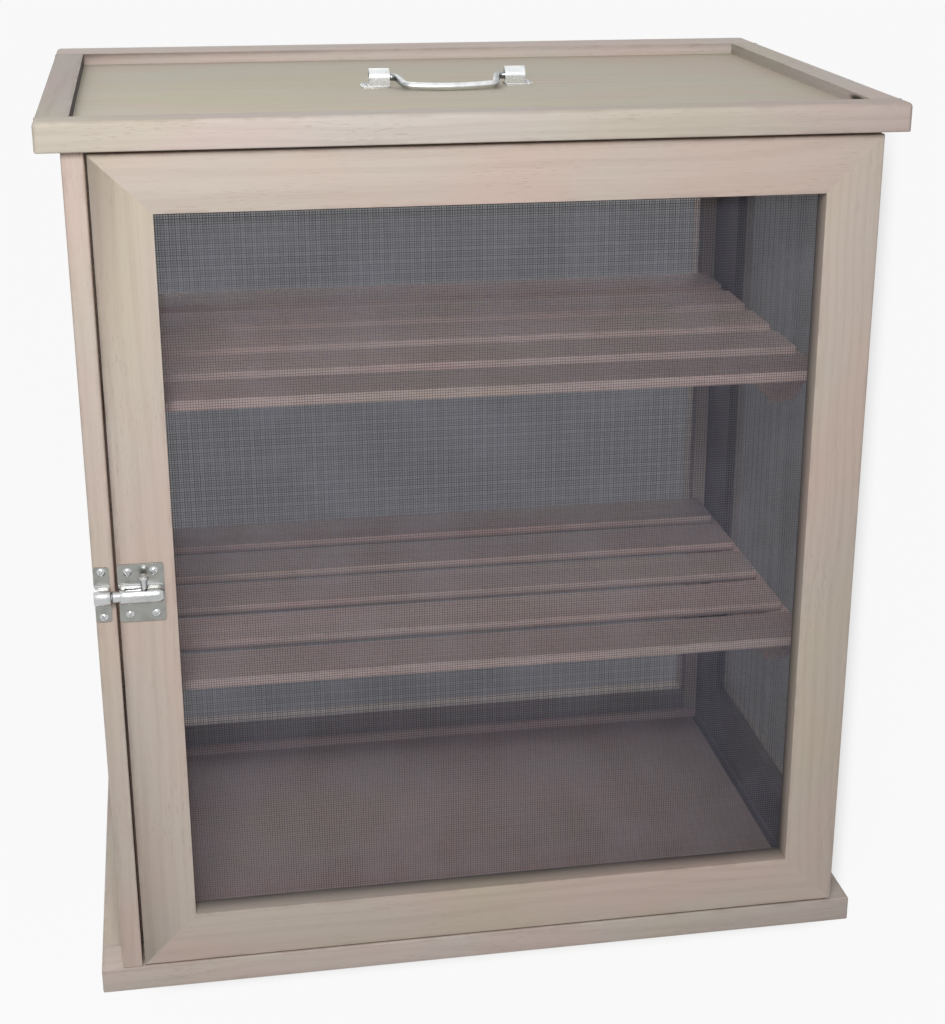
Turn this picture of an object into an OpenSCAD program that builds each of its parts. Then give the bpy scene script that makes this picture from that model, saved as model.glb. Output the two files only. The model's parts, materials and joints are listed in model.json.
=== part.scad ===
// Screened food safe: a wooden case with wire-screen sides, back and door.
// X runs across the front, Y from the door's face to the back, Z up from the rest face.
// Every Y below is measured from the door's face; seat() then centres the whole object.

/* [Case] */
// Width across the two side frames
case_w = 420; // [380:5:460]
// Depth from the door's face to the back frame
case_d = 264; // [250:2:300]
// Height of the side frames
case_h = 462; // [440:2:520]
// Thickness of the side frames
side_t = 11; // [10.5:0.5:14]
// Width of the side frames' stiles
side_stile_w = 50; // [40:1:60]
// Height of the side frames' bottom rails
side_bottom_rail_h = 41; // [30:1:60]
// Height of the side frames' top rails
side_top_rail_h = 40; // [30:1:60]

/* [Back] */
// Thickness of the back frame
back_t = 14; // [11:1:18]
// Width of the back frame's stiles
back_stile_w = 22; // [18:1:40]
// Height of the back frame's bottom rail
back_bottom_rail_h = 18; // [14:1:40]
// Height of the back frame's top rail
back_top_rail_h = 30; // [20:1:50]
// Height of the batten along the floor's back edge
batten_h = 6; // [4:1:14]
// Depth of the batten along the floor's back edge
batten_d = 5; // [4:1:10]
// Clearance between the batten's end and the side frame
batten_end_gap = 1; // [0.5:0.5:4]

/* [Base] */
// Height of the base frame
base_h = 15; // [13:1:25]
// How far the base stands out past the case at the sides and back
base_overhang = 12; // [6:1:20]
// Width of the base frame's front and side rails
base_rail_w = 24; // [20:1:40]
// Thickness of the floor board
floor_t = 9; // [6:1:10]
// Drop of the floor board below the top of the base frame
floor_drop = 3; // [1:0.5:4]
// Open joint between the floor board and each side rail
floor_side_gap = 0.8; // [0.4:0.1:0.9]

/* [Lid] */
// Thickness of the lid frame
lid_t = 15; // [13:1:22]
// How far the lid stands out past the case at each side
lid_side_overhang = 12; // [6:1:20]
// How far the lid stands out in front of the door
lid_front_overhang = 6; // [2:1:9]
// How far the lid stands out behind the back frame
lid_back_overhang = 19; // [8:1:30]
// Width of the lid's front and side rails
lid_rail_w = 17; // [15:1:22]
// Width of the lid's back rail
lid_back_rail_w = 32; // [24:1:40]
// Drop of the panel below the top of the lid frame
lid_recess = 6.5; // [3:0.5:7]
// Thickness of the lid panel
lid_panel_t = 5; // [4:0.5:6]
// How far the panel's edge reaches into its groove
panel_tongue = 5; // [3:0.5:6]
// Room left in the groove for the panel to swell
panel_swell_gap = 1; // [0.5:0.1:1.2]

/* [Door] */
// Thickness of the door frame
door_t = 14; // [12:0.5:18]
// Width of the door's stiles and rails
door_member_w = 30; // [26:1:45]
// Joint between the door and the left post
door_left_gap = 1.5; // [1:0.1:3]
// Joint between the door and the lid
door_top_gap = 2; // [1:0.1:4]
// Joint between the door and the base
door_bottom_gap = 1; // [0.6:0.1:3]

/* [Screens] */
// Thickness of the wire screen
screen_t = 0.6; // [0.5:0.1:1]
// Width of one strand of the screen
strand_w = 1.6; // [1:0.1:3]
// How far a screen laps over the frame it is stapled to
screen_lap = 8; // [5:0.5:12]
// How far the back screen laps over the back frame's stiles
back_screen_lap = 2.5; // [2:0.5:6]
// Depth of the saw kerf that holds a side screen
kerf_depth = 5; // [3:0.5:7]
// Room on each face of a screen in its kerf
kerf_clear = 0.1; // [0.05:0.05:0.3]
// Room between a screen's edge and the bottom of its kerf
kerf_end_clear = 0.5; // [0.3:0.1:0.9]
// Openings across the door screen
door_cells_x = 11; // [6:1:14]
// Openings up the door screen
door_cells_z = 12; // [6:1:16]
// Openings across the back screen
back_cells_x = 12; // [6:1:14]
// Openings up the back screen
back_cells_z = 12; // [6:1:16]
// Openings across a side screen
side_cells_y = 6; // [3:1:8]
// Openings up a side screen
side_cells_z = 14; // [6:1:18]

/* [Staples] */
// Length of a staple's crown
staple_len = 9; // [6:0.5:12]
// Width of a staple's crown
staple_w = 1.2; // [0.8:0.1:1.8]
// Height of a staple's crown above the screen
staple_t = 0.5; // [0.3:0.1:0.7]
// Distance from a frame's inner edge to the line of staples
staple_inset = 2; // [1:0.5:3]
// Greatest space between staples
staple_pitch = 62; // [45:1:90]

/* [Shelves] */
// Height of the lower shelf's top
lower_shelf_top = 181; // [150:1:200]
// Height of the upper shelf's top
upper_shelf_top = 342; // [300:1:360]
// Width of a slat
slat_w = 36; // [30:0.5:40]
// Thickness of a slat
slat_t = 6; // [5:0.5:8]
// Distance from the door's face to the front slat
slat_front_y = 22.5; // [20:0.5:30]
// Clearance between the rear slat and what holds the back screen
slat_back_gap = 0.4; // [0.3:0.1:2]
// Clearance between a slat's end and the side frame
slat_end_gap = 5; // [1:0.5:8]
// Width of a bearer
bearer_w = 13.5; // [10:0.5:18]
// Height of a bearer
bearer_h = 31.5; // [28:0.5:36]
// Distance from the door's face to the front tip of a bearer
bearer_tip_y = 30; // [26:1:40]
// Height and depth of the mitre under a bearer's front end
bearer_mitre = 15.5; // [12:0.5:18]
// Distance from the door's face to the heel of an upper bearer
upper_heel_y = 87.5; // [70:0.5:100]
// Distance from the door's face to the heel of a lower bearer
lower_heel_y = 73.5; // [70:0.5:100]

/* [Hinges] */
// Height of a hinge
hinge_h = 38; // [30:1:50]
// Distance from an end of the door to the middle of its hinge
hinge_inset = 70; // [50:1:100]
// Thickness of a hinge leaf
leaf_t = 0.7; // [0.6:0.05:1]
// Play between the two leaves of a closed hinge
leaf_play = 0.1; // [0.1:0.05:0.3]
// Width of the flat part of a hinge leaf
leaf_w = 9.3; // [8.5:0.1:9.5]
// Outer radius of a hinge knuckle
knuckle_r = 2.2; // [1.8:0.1:2.2]
// Radius of a hinge pin
hinge_pin_r = 1; // [0.7:0.05:1.2]
// Radial clearance of a hinge pin in its knuckles
hinge_pin_clear = 0.05; // [0.03:0.01:0.1]
// Clearance between a knuckle and what it passes
knuckle_clear = 0.3; // [0.2:0.05:0.5]
// Gap between a knuckle and the plane of the case's side
knuckle_side_gap = 0.1; // [0.1:0.05:0.3]
// Distance between the two screws of a leaf
leaf_screw_pitch = 24; // [18:1:28]
// Distance from a leaf's free edge to its screws
leaf_screw_edge = 4.35; // [4:0.05:4.6]

/* [Bolt] */
// Height of the bolt's axis
bolt_z = 245; // [225:1:285]
// Width of the bolt's body plate
bolt_plate_w = 24; // [22:0.5:28]
// Height of the bolt's body plate
bolt_plate_h = 32.5; // [30:0.5:40]
// Thickness of the bolt's and the keeper's plates
plate_t = 1; // [0.8:0.1:1.4]
// Distance of the body plate from the door's edge
bolt_plate_inset = 0.2; // [0:0.1:1]
// Radius of the bolt's rod
bolt_rod_r = 3.2; // [2.6:0.1:3.6]
// Length of the bolt's rod
bolt_rod_len = 26; // [24:0.5:28]
// Travel of the bolt
bolt_travel = 8; // [6:0.5:8]
// Radial clearance of the rod in its barrel
bolt_rod_clear = 0.2; // [0.1:0.05:0.3]
// Wall of the barrel over the rod
barrel_wall = 1; // [0.8:0.1:1.4]
// Wall of the barrel behind the rod
barrel_floor = 0.2; // [0.2:0.05:0.5]
// Distance from the body plate's side edges to its screws
bolt_screw_edge = 5.2; // [4.5:0.1:5.6]
// Distance from the body plate's ends to its screws
bolt_screw_end = 4.25; // [3.5:0.05:5]
// Distance of the barrel's ends from the plate's ends
barrel_inset = 1; // [0.5:0.1:2]
// Distance from the body plate's left edge to the knob
knob_offset = 13.3; // [12:0.1:14]
// Length of the knob from the rod's axis
knob_len = 12; // [9:0.5:13]
// Radius of the knob's neck
knob_neck_r = 1.6; // [1.2:0.1:1.8]
// How far the knob's straight neck stands out of the barrel
knob_neck_out = 1; // [0.5:0.5:2]
// Radius of the knob's end
knob_end_r = 2.8; // [2:0.1:3.2]
// Lean of the knob towards the front
knob_lean = 12; // [0:1:30]
// Width of the keeper
keeper_w = 8.2; // [7.5:0.1:8.5]
// Height of the keeper's plate
keeper_h = 30.7; // [29:0.1:36]
// Distance from the keeper's ends to its screws
keeper_screw_end = 2.6; // [2.5:0.05:3]
// Distance of the keeper from the post's outer edge
keeper_inset = 0.2; // [0:0.1:0.5]
// Radial clearance of the rod in the keeper
keeper_clear = 0.3; // [0.2:0.05:0.35]
// Gap between the withdrawn rod and the keeper
bolt_tip_gap = 0.3; // [0.2:0.1:0.6]
// Corner radius of the bolt's and the keeper's plates
plate_corner_r = 1.5; // [0.5:0.1:2.5]

/* [Handle] */
// Distance from the door's face to the bail's axis
handle_y = 140; // [100:1:180]
// Half of the space between the two brackets
bracket_half_gap = 33; // [33:0.5:40]
// Length of a bracket's barrel
bracket_barrel_len = 11.5; // [9:0.5:14]
// Outer radius of a bracket's barrel
bracket_barrel_r = 5; // [4:0.1:6]
// Height of the bail's axis above the panel
bail_axis_h = 5.5; // [5.2:0.1:7]
// Length of a bracket's outer tab
bracket_tab_w = 4.5; // [4.2:0.1:8]
// Depth of a bracket's foot
bracket_foot_d = 12; // [11:0.5:16]
// Thickness of a bracket's foot
bracket_foot_t = 1.2; // [0.8:0.1:1.6]
// Radius of the bail's rod
bail_rod_r = 2.1; // [1.6:0.1:2.4]
// Radial clearance of the bail in its brackets
bail_clear = 0.2; // [0.1:0.05:0.4]
// Reach of the bail's grip from its axis, at the middle
bail_reach = 20; // [18:0.5:26]
// Half of the grip's chord
grip_half = 23; // [20:0.5:24]
// Bow of the grip
grip_bow = 3; // [2:0.5:5]
// Radius of the bail's bends
bail_bend_r = 4; // [3:0.5:5]
// Steepness of the bail's arms
bail_arm_angle = 78; // [70:1:84]
// Length of rod that turns in each bracket
bail_pin_len = 10; // [6:0.5:10]
// Clearance of the folded bail above the panel
bail_rest_gap = 0.1; // [0.1:0.05:0.5]

/* [Screws] */
// Radius of a screw's shank
screw_r = 1.1; // [0.8:0.1:1.3]
// Length of a screw's shank in the wood
screw_len = 8; // [5:0.5:9]
// Radius of a screw's domed head
screw_head_r = 2.4; // [1.8:0.1:2.6]
// Height of a screw's domed head
screw_head_h = 1.2; // [0.8:0.1:1.5]
// Radius of a hinge screw's flat head
flat_head_r = 2; // [1.8:0.1:2.2]
// Radius of a handle screw's head
small_head_r = 1.9; // [1.6:0.1:2]
// Distance between a handle screw's head and the edge of its tab
small_head_edge = 0.5; // [0.3:0.1:1]
// Length of a handle screw's shank
small_screw_len = 4; // [2:0.5:4.5]
// Radial clearance around every screw
screw_clear = 0.1; // [0.05:0.05:0.2]

/* [Hidden] */
$fn = 48;
cut = 1;
half_w = case_w / 2;
side_in_x = half_w - side_t;
case_top_z = base_h + case_h;
case_back_y = case_d + back_t;

floor_z = base_h - floor_drop;
base_half_w = half_w + base_overhang;
base_back_y = case_back_y + base_overhang;
base_in_x = base_half_w - base_rail_w;
base_back_in_y = case_d;

lid_half_w = half_w + lid_side_overhang;
lid_front_y = -lid_front_overhang;
lid_back_y = case_back_y + lid_back_overhang;
lid_top_z = case_top_z + lid_t;
lid_in_x = lid_half_w - lid_rail_w;
lid_in_front_y = lid_front_y + lid_rail_w;
lid_in_back_y = lid_back_y - lid_back_rail_w;
panel_top_z = lid_top_z - lid_recess;

door_back_gap = 2 * leaf_t + leaf_play;
door_x0 = -side_in_x + door_left_gap;
door_x1 = half_w;
door_z0 = base_h + door_bottom_gap;
door_z1 = case_top_z - door_top_gap;
right_front_y = door_t + door_back_gap;

slat_count = 5;
slat_rear_y = case_d - screen_t - staple_t - slat_back_gap;
slat_pitch = (slat_rear_y - slat_w - slat_front_y) / (slat_count - 1);
slat_half_len = side_in_x - slat_end_gap;

kerf_w = screen_t + 2 * kerf_clear;
side_mid_x = half_w - side_t / 2;
screen_tongue = kerf_depth - kerf_end_clear;
side_open_z0 = base_h + side_bottom_rail_h;
side_open_z1 = case_top_z - side_top_rail_h;
back_open_x = half_w - back_stile_w;
back_open_z0 = base_h + back_bottom_rail_h;
back_open_z1 = case_top_z - back_top_rail_h;

hinge_x = half_w + knuckle_r + knuckle_side_gap;
hinge_y = door_t + door_back_gap / 2;
leaf_x1 = hinge_x - knuckle_r - knuckle_clear;
leaf_x0 = leaf_x1 - leaf_w;
leaf_screw_x = leaf_x0 + leaf_screw_edge;
upper_hinge_z = door_z1 - hinge_inset;
lower_hinge_z = door_z0 + hinge_inset;
hinge_levels = [lower_hinge_z, upper_hinge_z];

barrel_bore_r = bolt_rod_r + bolt_rod_clear;
barrel_r = barrel_bore_r + barrel_wall;
rod_y = -(plate_t + barrel_floor + barrel_bore_r);
bolt_plate_x0 = door_x0 + bolt_plate_inset;
keeper_x0 = -half_w + keeper_inset;
keeper_bore_r = bolt_rod_r + keeper_clear;
rod_tip_x = keeper_x0 + keeper_w + bolt_tip_gap;
knob_x = bolt_plate_x0 + knob_offset;
bolt_screw_dz = bolt_plate_h / 2 - bolt_screw_end;
keeper_screw_dz = keeper_h / 2 - keeper_screw_end;
knob_reach = -rod_y + knob_len * sin(knob_lean) + knob_end_r * cos(knob_lean);

bail_axis_z = panel_top_z + bail_axis_h;
bail_drop = asin((bail_axis_h - bail_rod_r - bail_rest_gap) / bail_reach);
grip_r = (grip_half * grip_half + grip_bow * grip_bow) / (2 * grip_bow);
grip_angle = asin(grip_half / grip_r);
arm_height = bail_reach - grip_bow
    - bail_bend_r * (cos(grip_angle) - cos(bail_arm_angle))
    - bail_bend_r * (1 - cos(bail_arm_angle));
arm_len = arm_height / sin(bail_arm_angle);
bail_sides = 12;
bend_steps = 4;
pin_lap = 1;
tube_inset = 0.02;

// Points along an arc that leaves a point heading down by a0 and ends heading down by a1
function arc(from, r, a0, a1) = [for (i = [1 : bend_steps])
    let (a = a0 + (a1 - a0) * i / bend_steps)
    from + sign(a1 - a0) * r * [sin(a) - sin(a0), cos(a) - cos(a0)]];
function last(points) = points[len(points) - 1];

// Half of the bail's centre line, from the middle of the grip to its pin
grip = arc([0, bail_reach], grip_r, 0, grip_angle);
shoulder = arc(last(grip), bail_bend_r, grip_angle, bail_arm_angle);
arm_end = last(shoulder) + arm_len * [cos(bail_arm_angle), -sin(bail_arm_angle)];
elbow = arc(arm_end, bail_bend_r, bail_arm_angle, 0);
bail_pin_x = last(elbow)[0];
half_bail = concat(grip, shoulder, [arm_end], elbow, [[bail_pin_x + pin_lap, 0]]);
bail_path = concat([for (i = [len(half_bail) - 1 : -1 : 0]) [-half_bail[i][0], half_bail[i][1]]],
    [[0, bail_reach]], half_bail);
tab_x = bracket_half_gap + bracket_barrel_len + bracket_tab_w / 2;
tab_screw_dy = bracket_foot_d / 2 - small_head_r - small_head_edge;

front_reach = max(lid_front_overhang, knob_reach);
mid_y = (lid_back_y - front_reach) / 2;

bolt_screws = [for (dx = [bolt_screw_edge, bolt_plate_w - bolt_screw_edge], dz = [-1, 1])
    [bolt_plate_x0 + dx, bolt_z + dz * bolt_screw_dz]];
keeper_screws = [for (dz = [-1, 1]) [keeper_x0 + keeper_w / 2, bolt_z + dz * keeper_screw_dz]];
hinge_screws = [for (z = hinge_levels, dz = [-1, 1])
    [leaf_screw_x, z + dz * leaf_screw_pitch / 2]];
handle_screws = [for (side = [-1, 1], dy = [-1, 1])
    [side * tab_x, handle_y + dy * tab_screw_dy]];

wood = "#bfa994";
wood_dark = "#a48f80";
panel_wood = "#b3a68c";
zinc = "#c9cdd2";
wire = "#6f727c";

// ---- shared shapes ----

// Moves a piece from its place behind the door's face to its place in the whole object
module seat() translate([0, -mid_y, 0]) children();

// Keeps a right-hand piece or mirrors it to the left
module on_side(side) {
    if (side < 0) mirror([1, 0, 0]) children();
    else children();
}

// A squared board between two values on each axis
module board(x, y, z) {
    translate([x[0], y[0], z[0]]) cube([x[1] - x[0], y[1] - y[0], z[1] - z[0]]);
}

// A flat shape drawn on the front, with its face at y and its thickness running backwards
module from_front(y, t) translate([0, y + t, 0]) rotate([90, 0, 0]) linear_extrude(t) children();

// A flat net with a plain margin and even square-cut openings
module net(w, h, margin, nx, ny) {
    px = (w - 2 * margin + strand_w) / nx;
    py = (h - 2 * margin + strand_w) / ny;
    difference() {
        square([w, h]);
        for (i = [0 : nx - 1], j = [0 : ny - 1])
            translate([margin + i * px, margin + j * py]) square([px - strand_w, py - strand_w]);
    }
}

// Round holes into the wood from a face at y, running backwards (dir 1) or forwards (dir -1)
module pilot_holes(points, y, dir) {
    for (p = points)
        translate([p[0], y - dir * cut, p[1]]) rotate([-90 * dir, 0, 0])
            cylinder(r = screw_r + screw_clear, h = screw_len + screw_clear + cut);
}

// A domed screw head with its shank below, head upwards
module dome_screw(head_r, head_h, len) {
    dome_r = (head_r * head_r + head_h * head_h) / (2 * head_h);
    intersection() {
        translate([0, 0, head_h - dome_r]) sphere(dome_r);
        cylinder(r = head_r + cut, h = head_h + cut);
    }
    translate([0, 0, -len]) cylinder(r = screw_r, h = len);
}

// A flat-headed screw with its head flush at zero
module flat_screw(head_t, len) {
    translate([0, 0, -head_t]) cylinder(r1 = screw_r, r2 = flat_head_r, h = head_t);
    translate([0, 0, -len]) cylinder(r = screw_r, h = len - head_t);
}

// Places children at points on a face at y, their tops facing forwards (dir 1) or backwards (dir -1)
module on_face(points, y, dir) {
    for (p = points)
        translate([p[0], y, p[1]]) rotate([90 * dir, 0, 0]) children();
}

// Evenly spaced staple crowns along a line between two values
function spread(a, b) = let (n = ceil((b - a) / staple_pitch))
    [for (i = [0 : n - 1]) a + (i + 0.5) * (b - a) / n];

// ---- base ----

module base_front_rail() color(wood)
    board([-base_half_w, base_half_w], [0, base_rail_w], [0, base_h]);

module base_back_rail() color(wood)
    board([-base_half_w, base_half_w], [base_back_in_y, base_back_y], [0, base_h]);

module base_side_rail(side) color(wood) on_side(side)
    board([base_in_x, base_half_w], [base_rail_w, base_back_in_y], [0, base_h]);

module floor_board() color(wood_dark)
    board([-base_in_x + floor_side_gap, base_in_x - floor_side_gap],
          [base_rail_w, base_back_in_y], [floor_z - floor_t, floor_z]);

// ---- side frames ----

// A saw kerf along the middle of a side frame, open towards the screen
module kerf(y, z) board([side_mid_x - kerf_w / 2, side_mid_x + kerf_w / 2], y, z);

function side_front_y(side) = side < 0 ? 0 : right_front_y;
function side_open_y0(side) = side_front_y(side) + side_stile_w;
side_open_y1 = case_d - side_stile_w;

module side_front_stile(side) color(wood) difference() {
    on_side(side) difference() {
        board([side_in_x, half_w], [side_front_y(side), side_open_y0(side)], [base_h, case_top_z]);
        kerf([side_open_y0(side) - kerf_depth, side_open_y0(side) + cut],
             [side_open_z0 - kerf_depth, side_open_z1 + kerf_depth]);
    }
    if (side < 0) pilot_holes(keeper_screws, 0, 1);
    if (side > 0) pilot_holes(hinge_screws, right_front_y, 1);
}

module side_rear_stile(side) color(wood_dark) on_side(side) difference() {
    board([side_in_x, half_w], [side_open_y1, case_d], [base_h, case_top_z]);
    kerf([side_open_y1 - cut, side_open_y1 + kerf_depth],
         [side_open_z0 - kerf_depth, side_open_z1 + kerf_depth]);
}

module side_bottom_rail(side) color(wood_dark) on_side(side) difference() {
    board([side_in_x, half_w], [side_open_y0(side), side_open_y1], [base_h, side_open_z0]);
    kerf([side_open_y0(side) - cut, side_open_y1 + cut], [side_open_z0 - kerf_depth, side_open_z0 + cut]);
}

module side_top_rail(side) color(wood) on_side(side) difference() {
    board([side_in_x, half_w], [side_open_y0(side), side_open_y1], [side_open_z1, case_top_z]);
    kerf([side_open_y0(side) - cut, side_open_y1 + cut], [side_open_z1 - cut, side_open_z1 + kerf_depth]);
}

module side_screen(side) color(wire) on_side(side) {
    w = side_open_y1 - side_open_y0(side) + 2 * screen_tongue;
    h = side_open_z1 - side_open_z0 + 2 * screen_tongue;
    translate([side_mid_x - screen_t / 2, side_open_y0(side) - screen_tongue, side_open_z0 - screen_tongue])
        rotate([90, 0, 90]) linear_extrude(screen_t)
            net(w, h, screen_tongue, side_cells_y, side_cells_z);
}

// ---- back frame ----

module back_stile(side) color(wood_dark) on_side(side)
    board([back_open_x, half_w], [case_d, case_back_y], [base_h, case_top_z]);

module back_bottom_rail() color(wood_dark)
    board([-back_open_x, back_open_x], [case_d, case_back_y], [base_h, back_open_z0]);

module back_top_rail() color(wood_dark)
    board([-back_open_x, back_open_x], [case_d, case_back_y], [back_open_z1, case_top_z]);

back_screen_x = back_open_x + back_screen_lap;
back_screen_z1 = back_open_z1 + screen_lap;

module back_screen() color(wire)
    from_front(case_d - screen_t, screen_t) translate([-back_screen_x, base_h])
        net(2 * back_screen_x, back_screen_z1 - base_h, screen_lap, back_cells_x, back_cells_z);

module floor_batten() color(wood_dark)
    board([-side_in_x + batten_end_gap, side_in_x - batten_end_gap],
          [case_d - screen_t - batten_d, case_d - screen_t], [floor_z, floor_z + batten_h]);

module back_staples() color(zinc) {
    y = [case_d - screen_t - staple_t, case_d - screen_t];
    x = back_open_x + back_screen_lap / 2;
    z_top = back_open_z1 + staple_inset;
    for (s = [-1, 1], z = spread(back_open_z0, back_open_z1))
        board([s * x - staple_w / 2, s * x + staple_w / 2], y, [z - staple_len / 2, z + staple_len / 2]);
    for (u = spread(-back_open_x, back_open_x))
        board([u - staple_len / 2, u + staple_len / 2], y, [z_top, z_top + staple_w]);
}

// ---- lid ----

// The groove that the panel's tongue runs in, all round
module panel_groove() {
    reach = panel_tongue + panel_swell_gap;
    board([-lid_in_x - reach, lid_in_x + reach], [lid_in_front_y - reach, lid_in_back_y + reach],
          [panel_top_z - lid_panel_t, panel_top_z]);
}

module lid_front_rail() color(wood) difference() {
    board([-lid_half_w, lid_half_w], [lid_front_y, lid_in_front_y], [case_top_z, lid_top_z]);
    panel_groove();
}

module lid_back_rail() color(wood) difference() {
    board([-lid_half_w, lid_half_w], [lid_in_back_y, lid_back_y], [case_top_z, lid_top_z]);
    panel_groove();
}

module lid_side_rail(side) color(wood) difference() {
    on_side(side)
        board([lid_in_x, lid_half_w], [lid_in_front_y, lid_in_back_y], [case_top_z, lid_top_z]);
    panel_groove();
}

module lid_panel() color(panel_wood) difference() {
    board([-lid_in_x - panel_tongue, lid_in_x + panel_tongue],
          [lid_in_front_y - panel_tongue, lid_in_back_y + panel_tongue],
          [panel_top_z - lid_panel_t, panel_top_z]);
    for (p = handle_screws)
        translate([p[0], p[1], panel_top_z - small_screw_len - screw_clear])
            cylinder(r = screw_r + screw_clear, h = small_screw_len + screw_clear + cut);
}

// ---- shelves ----

module slat(top, i) color(wood) {
    y = slat_front_y + (i - 1) * slat_pitch;
    board([-slat_half_len, slat_half_len], [y, y + slat_w], [top - slat_t, top]);
}

module bearer(side, shelf_top, heel_y) color(wood_dark) on_side(side) {
    z1 = shelf_top - slat_t;
    z0 = z1 - bearer_h;
    translate([side_in_x - bearer_w, 0, 0]) rotate([90, 0, 90]) linear_extrude(bearer_w)
        polygon([[bearer_tip_y, z1], [heel_y - bearer_mitre, z0 + bearer_mitre], [heel_y, z0],
                 [slat_rear_y, z0], [slat_rear_y, z1]]);
}

// ---- door ----

// The front outline of one mitred door member
module door_stile_outline(side) {
    outer = side < 0 ? door_x0 : door_x1;
    inner = outer - side * door_member_w;
    polygon([[outer, door_z0], [inner, door_z0 + door_member_w],
             [inner, door_z1 - door_member_w], [outer, door_z1]]);
}

module door_rail_outline(outer, inner) polygon([[door_x0, outer], [door_x1, outer],
    [door_x1 - door_member_w, inner], [door_x0 + door_member_w, inner]]);

module door_left_stile() color(wood) difference() {
    from_front(0, door_t) door_stile_outline(-1);
    pilot_holes(bolt_screws, 0, 1);
}

module door_right_stile() color(wood) difference() {
    from_front(0, door_t) door_stile_outline(1);
    pilot_holes(hinge_screws, door_t, -1);
}

module door_top_rail() color(wood)
    from_front(0, door_t) door_rail_outline(door_z1, door_z1 - door_member_w);

module door_bottom_rail() color(wood)
    from_front(0, door_t) door_rail_outline(door_z0, door_z0 + door_member_w);

door_open_x0 = door_x0 + door_member_w;
door_open_x1 = door_x1 - door_member_w;
door_open_z0 = door_z0 + door_member_w;
door_open_z1 = door_z1 - door_member_w;

module door_screen() color(wire)
    from_front(door_t, screen_t) translate([door_open_x0 - screen_lap, door_open_z0 - screen_lap])
        net(door_open_x1 - door_open_x0 + 2 * screen_lap, door_open_z1 - door_open_z0 + 2 * screen_lap,
            screen_lap, door_cells_x, door_cells_z);

module door_staples() color(zinc) {
    y = [door_t + screen_t, door_t + screen_t + staple_t];
    for (x = [door_open_x0 - staple_inset - staple_w, door_open_x1 + staple_inset],
         z = spread(door_open_z0, door_open_z1))
        board([x, x + staple_w], y, [z - staple_len / 2, z + staple_len / 2]);
    for (z = [door_open_z0 - staple_inset - staple_w, door_open_z1 + staple_inset],
         x = spread(door_open_x0, door_open_x1))
        board([x - staple_len / 2, x + staple_len / 2], y, [z, z + staple_w]);
}

// ---- hinges ----

// The heights that belong to one leaf's knuckles: the middle third, or the two outer thirds
function knuckle_spans(z, middle) = let (k = hinge_h / 6)
    middle ? [[z - k, z + k]] : [[z - 3 * k, z - k - leaf_play], [z + k + leaf_play, z + 3 * k]];

module hinge_leaf(z, y, middle) color(zinc) difference() {
    union() {
        board([leaf_x0, leaf_x1], [y, y + leaf_t], [z - hinge_h / 2, z + hinge_h / 2]);
        for (span = knuckle_spans(z, middle)) {
            board([leaf_x1, hinge_x], [y, y + leaf_t], span);
            translate([hinge_x, hinge_y, span[0]]) cylinder(r = knuckle_r, h = span[1] - span[0]);
        }
    }
    translate([hinge_x, hinge_y, z - hinge_h / 2 - cut])
        cylinder(r = hinge_pin_r + hinge_pin_clear, h = hinge_h + 2 * cut);
    // The screw holes are countersunk from the face that meets the other leaf
    on_face([for (dz = [-1, 1]) [leaf_screw_x, z + dz * leaf_screw_pitch / 2]],
            middle ? y + leaf_t : y, middle ? -1 : 1)
        translate([0, 0, -leaf_t])
            cylinder(r1 = screw_r + screw_clear, r2 = flat_head_r + screw_clear, h = leaf_t);
}

module hinge_case_leaf(z) hinge_leaf(z, right_front_y - leaf_t, false);

module hinge_door_leaf(z) hinge_leaf(z, door_t, true);

module hinge_pins() color(zinc)
    for (z = hinge_levels)
        translate([hinge_x, hinge_y, z - hinge_h / 2]) cylinder(r = hinge_pin_r, h = hinge_h);

// ---- bolt ----

// A plate with rounded corners, from its left edge and centred on the bolt's axis
module rounded_plate(w, h) {
    r = plate_corner_r;
    from_front(-plate_t, plate_t) translate([0, -h / 2]) {
        translate([r, 0]) square([w - 2 * r, h]);
        translate([0, r]) square([w, h - 2 * r]);
        for (x = [r, w - r], z = [r, h - r]) translate([x, z]) circle(r);
    }
}

// A half-round loop over the rod, standing on its plate
module rod_loop(x0, x1, r) {
    translate([x0, rod_y, 0]) rotate([0, 90, 0]) cylinder(r = r, h = x1 - x0);
    board([x0, x1], [rod_y, -plate_t], [-r, r]);
}

module rod_hole(x0, x1, r) translate([x0, rod_y, 0]) rotate([0, 90, 0]) cylinder(r = r, h = x1 - x0);

module plate_holes(points) {
    for (p = points)
        translate([p[0], cut, p[1]]) rotate([90, 0, 0])
            cylinder(r = screw_r + screw_clear, h = plate_t + 2 * cut);
}

module bolt_plate() color(zinc) difference() {
    translate([bolt_plate_x0, 0, bolt_z]) difference() {
        union() {
            rounded_plate(bolt_plate_w, bolt_plate_h);
            rod_loop(barrel_inset, bolt_plate_w - barrel_inset, barrel_r);
        }
        rod_hole(-cut, bolt_plate_w + cut, barrel_bore_r);
        // The slot that the knob runs in
        slot_r = knob_neck_r + bolt_rod_clear;
        translate([knob_offset - bolt_travel - slot_r, rod_y, 0]) rotate([knob_lean, 0, 0])
            translate([0, -slot_r, 0]) cube([bolt_travel + 2 * slot_r, 2 * slot_r, barrel_r + cut]);
    }
    plate_holes(bolt_screws);
}

module bolt_keeper() color(zinc) difference() {
    translate([keeper_x0, 0, bolt_z]) difference() {
        union() {
            rounded_plate(keeper_w, keeper_h);
            rod_loop(0, keeper_w, keeper_bore_r + barrel_wall);
        }
        rod_hole(-cut, keeper_w + cut, keeper_bore_r);
    }
    plate_holes(keeper_screws);
}

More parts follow.
